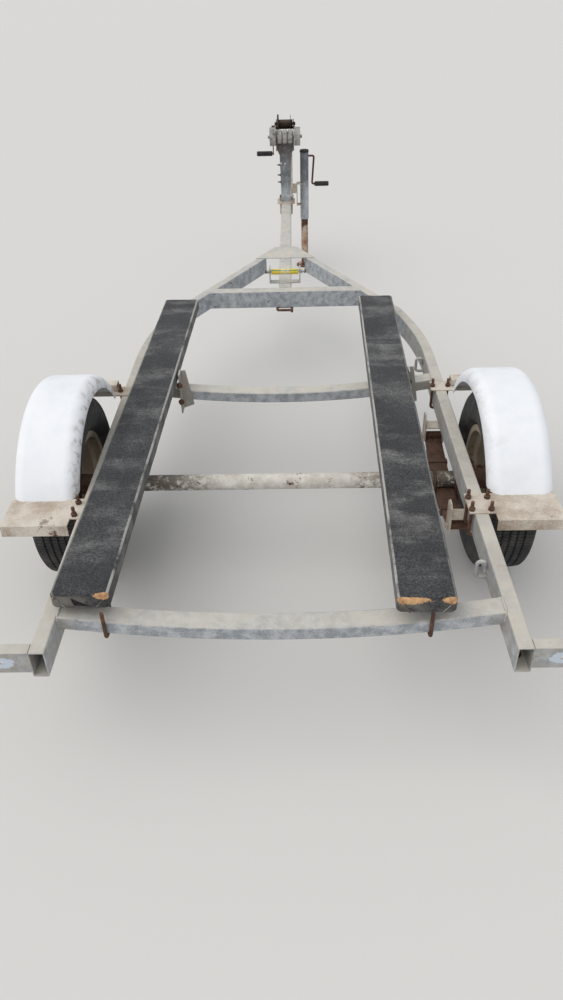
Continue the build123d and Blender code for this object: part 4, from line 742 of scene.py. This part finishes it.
def tread_tyre(side, name):
    """Turns the profile round the axle, with the grooves swaying and the sipes cut at fixed steps."""
    centre = middle(f"tyre_{name}")
    low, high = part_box(f"tyre_{name}")
    radius = (high.z - low.z) / 2 - 0.0005
    profile = tyre_profile((high.x - low.x) / 2, radius)
    rings = []
    for step in range(TREAD_STEPS):
        for part, offset in enumerate(STEP_OFFSETS):
            turn = 2 * math.pi * (step + offset) / TREAD_STEPS
            sway = ZIGZAG * (4 * abs(offset - 0.5) - 1)
            ring = []
            for x, r, moves, rib in profile:
                x += sway * moves
                r -= SIPE_DEPTH * (rib and part in SIPE_STEPS)
                y, z = r * math.cos(turn), r * math.sin(turn)
                ring.append((centre.x + side * x, centre.y + y, centre.z + z))
            rings.append(ring)
    shape = join_rings(rings, closed=False, loop=True)
    tyre = add_piece(f"treaded_tyre_{name}", shape, "tyre_rubber", f"wheel_{name}")
    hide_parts(f"tyre_{name}")


for name, side in SIDES.items():
    tread_tyre(side, name)

# %% [markdown]
# A carpeted bunk is a plank with felt pulled round it. The felt softens every edge, ripples a
# little along the top, and at the ends it is folded like a parcel, with a flap over the end face.
# The plank's ring of points is swept along its length with slow noise added, which gives the felt
# its unevenness without cloth simulation, since a wrapped rigid plank has nothing to drape.

# %% Carpeted bunks
BUNK_CORNER = 0.010
BUNK_ROWS = 200
RIPPLE = 0.0016
FELT_HALF_WIDTH = 0.0745
PLANK_HALF_HEIGHT = 0.025
ROUNDED_END = ((0.0, 0.55), (0.0015, 0.82), (0.004, 0.93), (0.008, 0.985))
END_LENGTH = 0.012


def felt_outline(half_width, half_height, corner, arc_steps=5, flat_steps=14):
    """Rounded rectangle of points, denser at the corners."""
    outline = []
    for index, (sx, sz) in enumerate(((1, 1), (-1, 1), (-1, -1), (1, -1))):
        for k in range(arc_steps + 1):
            angle = math.pi / 2 * (index + k / arc_steps)
            outline.append((sx * (half_width - corner) + corner * math.cos(angle),
                            sz * (half_height - corner) + corner * math.sin(angle)))
        corner_end = Vector(outline[-1])
        nx, nz = ((-1, 1), (-1, -1), (1, -1), (1, 1))[index]
        next_angle = math.pi / 2 * (index + 1)
        start = Vector((nx * (half_width - corner) + corner * math.cos(next_angle),
                        nz * (half_height - corner) + corner * math.sin(next_angle)))
        steps = flat_steps if index in (0, 2) else 4
        outline += [tuple(corner_end.lerp(start, k / steps)) for k in range(1, steps)]
    return outline


def plank_axis(name):
    """The felt's centre line: its rear end, length and direction, and the direction across it."""
    points = [v.co for v in nodes[f"bunk_{name}"].data.vertices]
    low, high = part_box(f"bunk_{name}")
    rear = [p.x + FELT_SHIFT[name] for p in points if p.y < low.y + 0.03]
    front = [p.x + FELT_SHIFT[name] for p in points if p.y > high.y - 0.03]
    z = (low.z + high.z) / 2
    start, end = (Vector(((min(xs) + max(xs)) / 2, y, z)) for xs, y in ((rear, low.y), (front, high.y)))
    ahead = (end - start).normalized()
    return start, (end - start).length, ahead, Vector((ahead.y, -ahead.x, 0))


def carpeted_bunk(name):
    """Sweeps the outline along the plank, drawn in at the ends and rippled by slow noise."""
    node = f"bunk_{name}"
    low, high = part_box(node)
    rear, length, ahead, across = plank_axis(name)
    outline = felt_outline(FELT_HALF_WIDTH, (high.z - low.z) / 2 - 0.0005, BUNK_CORNER)
    stations = list(ROUNDED_END)
    stations += [(END_LENGTH + (length - 2 * END_LENGTH) * k / BUNK_ROWS, 1.0) for k in range(BUNK_ROWS + 1)]
    stations += [(length - distance, share) for distance, share in reversed(ROUNDED_END)]
    rings = []
    for distance, share in stations:
        ring = []
        for x, z in outline:
            inward = Vector((math.copysign(1 - share, x) * FELT_HALF_WIDTH, 0,
                             math.copysign(1 - share, z) * PLANK_HALF_HEIGHT))
            pull = Vector((x, 0, z)) - inward
            point = rear + ahead * distance + across * pull.x + Vector((0, 0, pull.z))
            outward = (across * (x / FELT_HALF_WIDTH) + Vector((0, 0, z / PLANK_HALF_HEIGHT))).normalized()
            lump = noise.noise(point * 9.0) * 0.6 + noise.noise(point * 38.0) * 0.4
            ring.append(point + outward * (RIPPLE * (lump - 0.45)))
        rings.append(ring)
    bunk = add_piece(f"carpeted_bunk_{name}", join_rings(rings, caps=True), "carpet", "frame")
    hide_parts(node)


for name in SIDES:
    carpeted_bunk(name)

# %% [markdown]
# The carpet is folded over the rear end like the end of a parcel: the side flaps go in first and
# the top flap comes down over them. Only the raised borders of that flap show, so they are thin
# rolled ridges of the same felt.

# %% Tubes along a line
def frames_along(points):
    """Two side directions at each point of a line, turned as little as possible."""
    last = len(points) - 1
    ahead = [(points[min(i + 1, last)] - points[max(i - 1, 0)]).normalized() for i in range(last + 1)]
    side = ahead[0].orthogonal().normalized()
    result = []
    for direction in ahead:
        side = (side - direction * side.dot(direction)).normalized()
        result.append((side, direction.cross(side)))
    return result


def tube_rings(points, radii, count):
    """Round sections along a line, each with its own radius."""
    turns = [2 * math.pi * k / count for k in range(count)]
    rings = []
    for point, radius, (u, v) in zip(points, radii, frames_along(points)):
        rings.append([point + (u * math.cos(turn) + v * math.sin(turn)) * radius for turn in turns])
    return rings


def smooth_line(corners, steps=8):
    """A line through the corners, rounded by cutting them twice."""
    points = [Vector(c) for c in corners]
    for _ in range(2):
        cut = [points[0]]
        for a, b in zip(points, points[1:]):
            cut += [a.lerp(b, 0.25), a.lerp(b, 0.75)]
        points = cut + [points[-1]]
    dense = []
    for a, b in zip(points, points[1:]):
        dense += [a.lerp(b, k / steps) for k in range(steps)]
    return dense + [points[-1]]


def parcel_fold(name):
    """Raised borders of the flap that covers the rear end face."""
    rear, _, ahead, across = plank_axis(name)
    low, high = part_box(f"bunk_{name}")
    face = rear - ahead * 0.0005
    half_height = (high.z - low.z) / 2
    folds = ([], [])
    for sign in (-1, 1):
        top = face + across * (sign * 0.064) + Vector((0, 0, half_height - 0.010))
        foot = face + across * (sign * 0.040) + Vector((0, 0, -half_height + 0.006))
        line = smooth_line((top, top.lerp(foot, 0.5) + across * 0.002 * sign, foot))
        radii = [0.0026 + 0.0006 * noise.noise(p * 90) for p in line]
        join_rings(tube_rings(line, radii, 8), folds, caps=True)
    add_piece(f"end_folds_{name}", folds, "carpet", "frame")


for name in SIDES:
    parcel_fold(name)

# %% [markdown]
# The frame is welded by hand. A bead of overlapping ripples runs along each joint. It is a tube
# laid in the corner, whose thickness beats at the pitch of the ripples and wanders a little.

# %% Weld beads
WELD_RIPPLE = 0.0045
RAIL_INNER_FACE = 0.56
rng = random.Random(7)
weld_beads = ([], [])


def weld(start, end, size=0.0038):
    """A bead from start to end that tapers at both."""
    start, end = Vector(start), Vector(end)
    length = (end - start).length
    steps = max(6, int(length / 0.0015))
    points, radii = [], []
    sideways = (end - start).orthogonal().normalized()
    for k in range(steps + 1):
        share = k / steps
        beat = abs(math.sin(math.pi * share * length / WELD_RIPPLE))
        taper = min(1.0, 6 * share + 0.3, 6 * (1 - share) + 0.3)
        points.append(start.lerp(end, share) + sideways * rng.uniform(-0.0003, 0.0003))
        radii.append(size * taper * (0.78 + 0.22 * beat + rng.uniform(-0.05, 0.05)))
    join_rings(tube_rings(points, radii, 8), weld_beads, caps=True)


def weld_crossmember_end(node, side):
    """Beads down both faces and over the top where a crossmember meets its rail."""
    reach = abs(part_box(node)[1].x)
    points = [v.co for v in nodes[node].data.vertices if side * v.co.x > reach - 0.004]
    z0, z1 = min(p.z for p in points), max(p.z for p in points)
    y0, y1 = min(p.y for p in points), max(p.y for p in points)
    x = side * (reach - 0.001)
    weld((x, y0 - 0.0005, z0 + 0.004), (x, y0 - 0.0005, z1 - 0.003))
    weld((x, y0 + 0.003, z1 + 0.0003), (x, y1 - 0.003, z1 + 0.0003))
    weld((x, y1 + 0.0005, z0 + 0.004), (x, y1 + 0.0005, z1 - 0.003))


for node in ("cross_rear", "cross_middle"):
    for side in SIDES.values():
        weld_crossmember_end(node, side)
for name, side in SIDES.items():
    low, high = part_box(f"lamp_arm_{name}")
    x = low.x if side > 0 else high.x
    weld((x, low.y + 0.008, low.z + 0.004), (x, low.y + 0.008, high.z - 0.006), 0.003)
    spring_low, spring_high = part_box(f"spring_hangers_{name}")
    x, z = side * (RAIL_INNER_FACE - 0.0005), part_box(f"rail_{name}")[0].z + 0.0005
    for y in (spring_low.y + 0.025, spring_high.y - 0.025):
        weld((x, y - 0.020, z), (x, y + 0.020, z))
gusset_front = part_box("gusset")[1].y - 0.002
bar_low, bar_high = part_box("drawbar")
weld((bar_low.x, gusset_front, bar_high.z), (bar_high.x, gusset_front, bar_high.z), 0.003)
keel_low, keel_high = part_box("keel_bracket")
for y in (keel_low.y, keel_high.y):
    weld((bar_low.x + 0.003, y, bar_high.z + 0.001), (bar_high.x - 0.003, y, bar_high.z + 0.001), 0.0028)
add_piece("frame_welds", weld_beads, "galvanised_steel", "frame")

# %% [markdown]
# Every U-bolt on this trailer ends in rusty thread above its nut. Thread is what makes a rod read
# as a bolt, so each visible end gets a sleeve of fine ridges and a domed tip, and each nut gets a
# chamfered top and a washer. They ride on the same body as the rods they belong to.

# %% Threads, nuts and washers
THREAD_PITCH = 0.0016
bolts = ([], [])


def threaded_end(foot, tip, radius, into=bolts):
    """Ridges from foot to tip, ending in a small dome."""
    foot, tip = Vector(foot), Vector(tip)
    steps = int((tip - foot).length / THREAD_PITCH * 2)
    points = [foot.lerp(tip, k / steps) for k in range(steps + 1)]
    radii = [radius + (0.0004 if k % 2 else -0.0001) for k in range(steps + 1)]
    ahead = (tip - foot).normalized()
    for rise, share in ((0.0006, 0.86), (0.0012, 0.55), (0.0014, 0.1)):
        points.append(tip + ahead * rise)
        radii.append(radius * share)
    join_rings(tube_rings(points, radii, 14), into, caps=True)


def hex_head(base, axis, across=0.0095, height=0.008, washer=0.0125, into=bolts):
    """A hexagon with a chamfered top on a round washer."""
    base, axis = Vector(base), Vector(axis).normalized()
    u = axis.orthogonal().normalized()
    v = axis.cross(u)
    turn = rng.uniform(0, math.pi / 3)

    def ring(radius, rise, hexagon):
        points = []
        for k in range(24):
            angle = turn + 2 * math.pi * k / 24
            r = radius
            if hexagon:
                inside = (angle - turn) % (math.pi / 3) - math.pi / 6
                r = radius * math.cos(math.pi / 6) / math.cos(inside)
            points.append(base + (u * math.cos(angle) + v * math.sin(angle)) * r + axis * rise)
        return points

    rings = [ring(washer, 0.0, False), ring(washer, 0.0018, False), ring(across * 0.97, 0.0018, False),
             ring(across, 0.0022, True), ring(across, height - 0.0012, True),
             ring(across * 0.90, height, False), ring(across * 0.35, height + 0.0002, False)]
    join_rings(rings, into, caps=True)


def cluster(node, reach):
    """Upright rod ends of a part, found as separate high points of its mesh: [(x, y, top)]."""
    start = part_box(node)[1].z - reach
    ends = []
    for v in nodes[node].data.vertices:
        if v.co.z > start:
            for end in ends:
                if abs(end[0] - v.co.x) < 0.016 and abs(end[1] - v.co.y) < 0.016:
                    end[2] = max(end[2], v.co.z)
                    end[3].append((v.co.x, v.co.y))
                    break
            else:
                ends.append([v.co.x, v.co.y, v.co.z, [(v.co.x, v.co.y)]])
    result = []
    for _, _, top, marks in ends:
        xs, ys = [m[0] for m in marks], [m[1] for m in marks]
        result.append(((min(xs) + max(xs)) / 2, (min(ys) + max(ys)) / 2, top))
    return result


print("rod ends on the rails:", len(cluster("rail_u_bolts", 0.002)))

# %% Ends of the U-bolts and the bolts of the brackets
ROD_RADIUS = 0.005
RAIL_BOLT_OUT, RAIL_BOLT_AHEAD = 0.578, 0.055
for x, y, top in cluster("rail_u_bolts", 0.002):
    threaded_end((x, y, top - 0.021), (x, y, top), ROD_RADIUS)
for x, y, top in cluster("post_foot", 0.002):
    threaded_end((x, y, top - 0.013), (x, y, top), ROD_RADIUS)
for name, side in SIDES.items():
    marks = [v.co for v in nodes["bunk_brackets"].data.vertices if side * v.co.x > 0]
    face = min(p.y for p in marks)
    foot, head = min(p.z for p in marks), max(p.z for p in marks)
    near = [p.x for p in marks if p.y < face + 0.004]
    for share, along in ((0.74, 0.45), (0.31, 0.58)):
        spot = (min(near) + (max(near) - min(near)) * along, face, foot + (head - foot) * share)
        hex_head(spot, (0, -1, 0), washer=0.011)
        threaded_end(spot, (spot[0], face - 0.016, spot[2]), ROD_RADIUS)
    rail_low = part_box(f"rail_{name}")[0]
    x, y, z = side * RAIL_BOLT_OUT, rail_low.y + RAIL_BOLT_AHEAD, rail_low.z
    hex_head((x, y, z + 0.003), (0, 0, 1))
    threaded_end((x, y, z + 0.006), (x, y, z + 0.028), ROD_RADIUS)
print("points on bolts so far:", len(bolts[0]))

# %% [markdown]
# Smaller bolts hold the rest. Three rusty ones go sideways through the post to the bracket of the
# jack, small zinc ones sit high on its rear face, and one fastens each fender to its front arm. The
# winch, the keel roller and the coupler have theirs. Each is set on the surface that a straight
# line meets first, so it touches the part however that part's faces slope.

# %% Bolts set on the surface they hold
def surface_spot(node, start, ahead):
    """Where a straight line first meets a part."""
    mesh = nodes[node].data
    tree = BVHTree.FromPolygons([v.co for v in mesh.vertices], [tuple(p.vertices) for p in mesh.polygons])
    return tree.ray_cast(Vector(start), Vector(ahead))[0]


def bolt_on(node, start, ahead, across=0.0095, height=0.008, length=0.0, into=bolts):
    """A nut on the face that the line meets, with a threaded end if it has a length."""
    spot = surface_spot(node, start, ahead)
    back = -Vector(ahead)
    hex_head(spot, back, across, height, across * 1.3, into)
    if length:
        threaded_end(spot, spot + back * length, across * 0.55, into)


print("rear face of the post:", round(surface_spot("winch_post", (-0.003, 1.5, 0.671), (0, 1, 0)).y, 3))

# %% Bolts of the post, the arms, the keel roller, the coupler and the winch
POST_HEADS = ((-0.021, 0.715), (-0.028, 0.672), (-0.003, 0.671))
POST_RODS, POST_ROD_AHEAD = (0.657, 0.598, 0.556), 1.738
COUPLER_BOLTS_AHEAD = (1.958, 2.000)
FENDER_BOLT_OUT = 0.68
post_bolts, drum_nuts = ([], []), ([], [])
for x, z in POST_HEADS:
    bolt_on("winch_post", (x, 1.5, z), (0, 1, 0), 0.0046, 0.0035, into=post_bolts)
for z in POST_RODS:
    bolt_on("winch_post", (-0.3, POST_ROD_AHEAD, z), (1, 0, 0), 0.0065, 0.006, 0.017)
keel, drum = middle("keel_roller"), middle("winch_drum")
for name, side in SIDES.items():
    arm = f"fender_arm_{name}"
    bolt_on(arm, (side * FENDER_BOLT_OUT, middle(arm).y, 0.2), (0, 0, 1), 0.008, 0.006, 0.016)
    bolt_on("keel_bracket", (side * 0.3, keel.y, keel.z), (-side, 0, 0), 0.008, 0.006)
    for y in COUPLER_BOLTS_AHEAD:
        bolt_on("coupler", (side * 0.3, y, middle("coupler").z), (-side, 0, 0), 0.009, 0.007, 0.011)
    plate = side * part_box("winch_frame")[1].x
    hex_head((plate, drum.y, drum.z), (side, 0, 0), 0.011, 0.007, 0.0143, drum_nuts)
add_piece("bolt_ends", bolts, "rusty_steel", "frame")
add_piece("post_bolts", post_bolts, "clean_zinc", "frame")
add_piece("winch_drum_nuts", drum_nuts, "rusty_steel", "winch_drum")

# %% [markdown]
# Two clips keep the leaves of each spring together. A clip is a flat band bent round the stack, so
# it is one cross-section carried round four corners that are found on the spring itself.

# %% Spring clips
CLIP_STRIP = 0.0035
CLIP_HALF_WIDTH = 0.011
CLIP_FROM_MIDDLE = 0.14
clips = ([], [])
for name in SIDES:
    node = f"leaf_spring_{name}"
    low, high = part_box(node)
    x, y = (low.x + high.x) / 2, (low.y + high.y) / 2
    for station in (y - CLIP_FROM_MIDDLE, y + CLIP_FROM_MIDDLE):
        top = surface_spot(node, (x, station, 1.0), (0, 0, -1)).z
        foot = surface_spot(node, (x, station, 0.0), (0, 0, 1)).z
        rings = []
        for side_x, side_z in ((1, 1), (-1, 1), (-1, -1), (1, -1)):
            near = Vector((high.x if side_x > 0 else low.x, station, top if side_z > 0 else foot))
            far = near + Vector((side_x, 0, side_z)) * CLIP_STRIP
            reach = Vector((0, CLIP_HALF_WIDTH, 0))
            rings.append([near - reach, near + reach, far + reach, far - reach])
        join_rings(rings, clips, loop=True)
add_piece("spring_clips", clips, "rusty_steel", "frame")
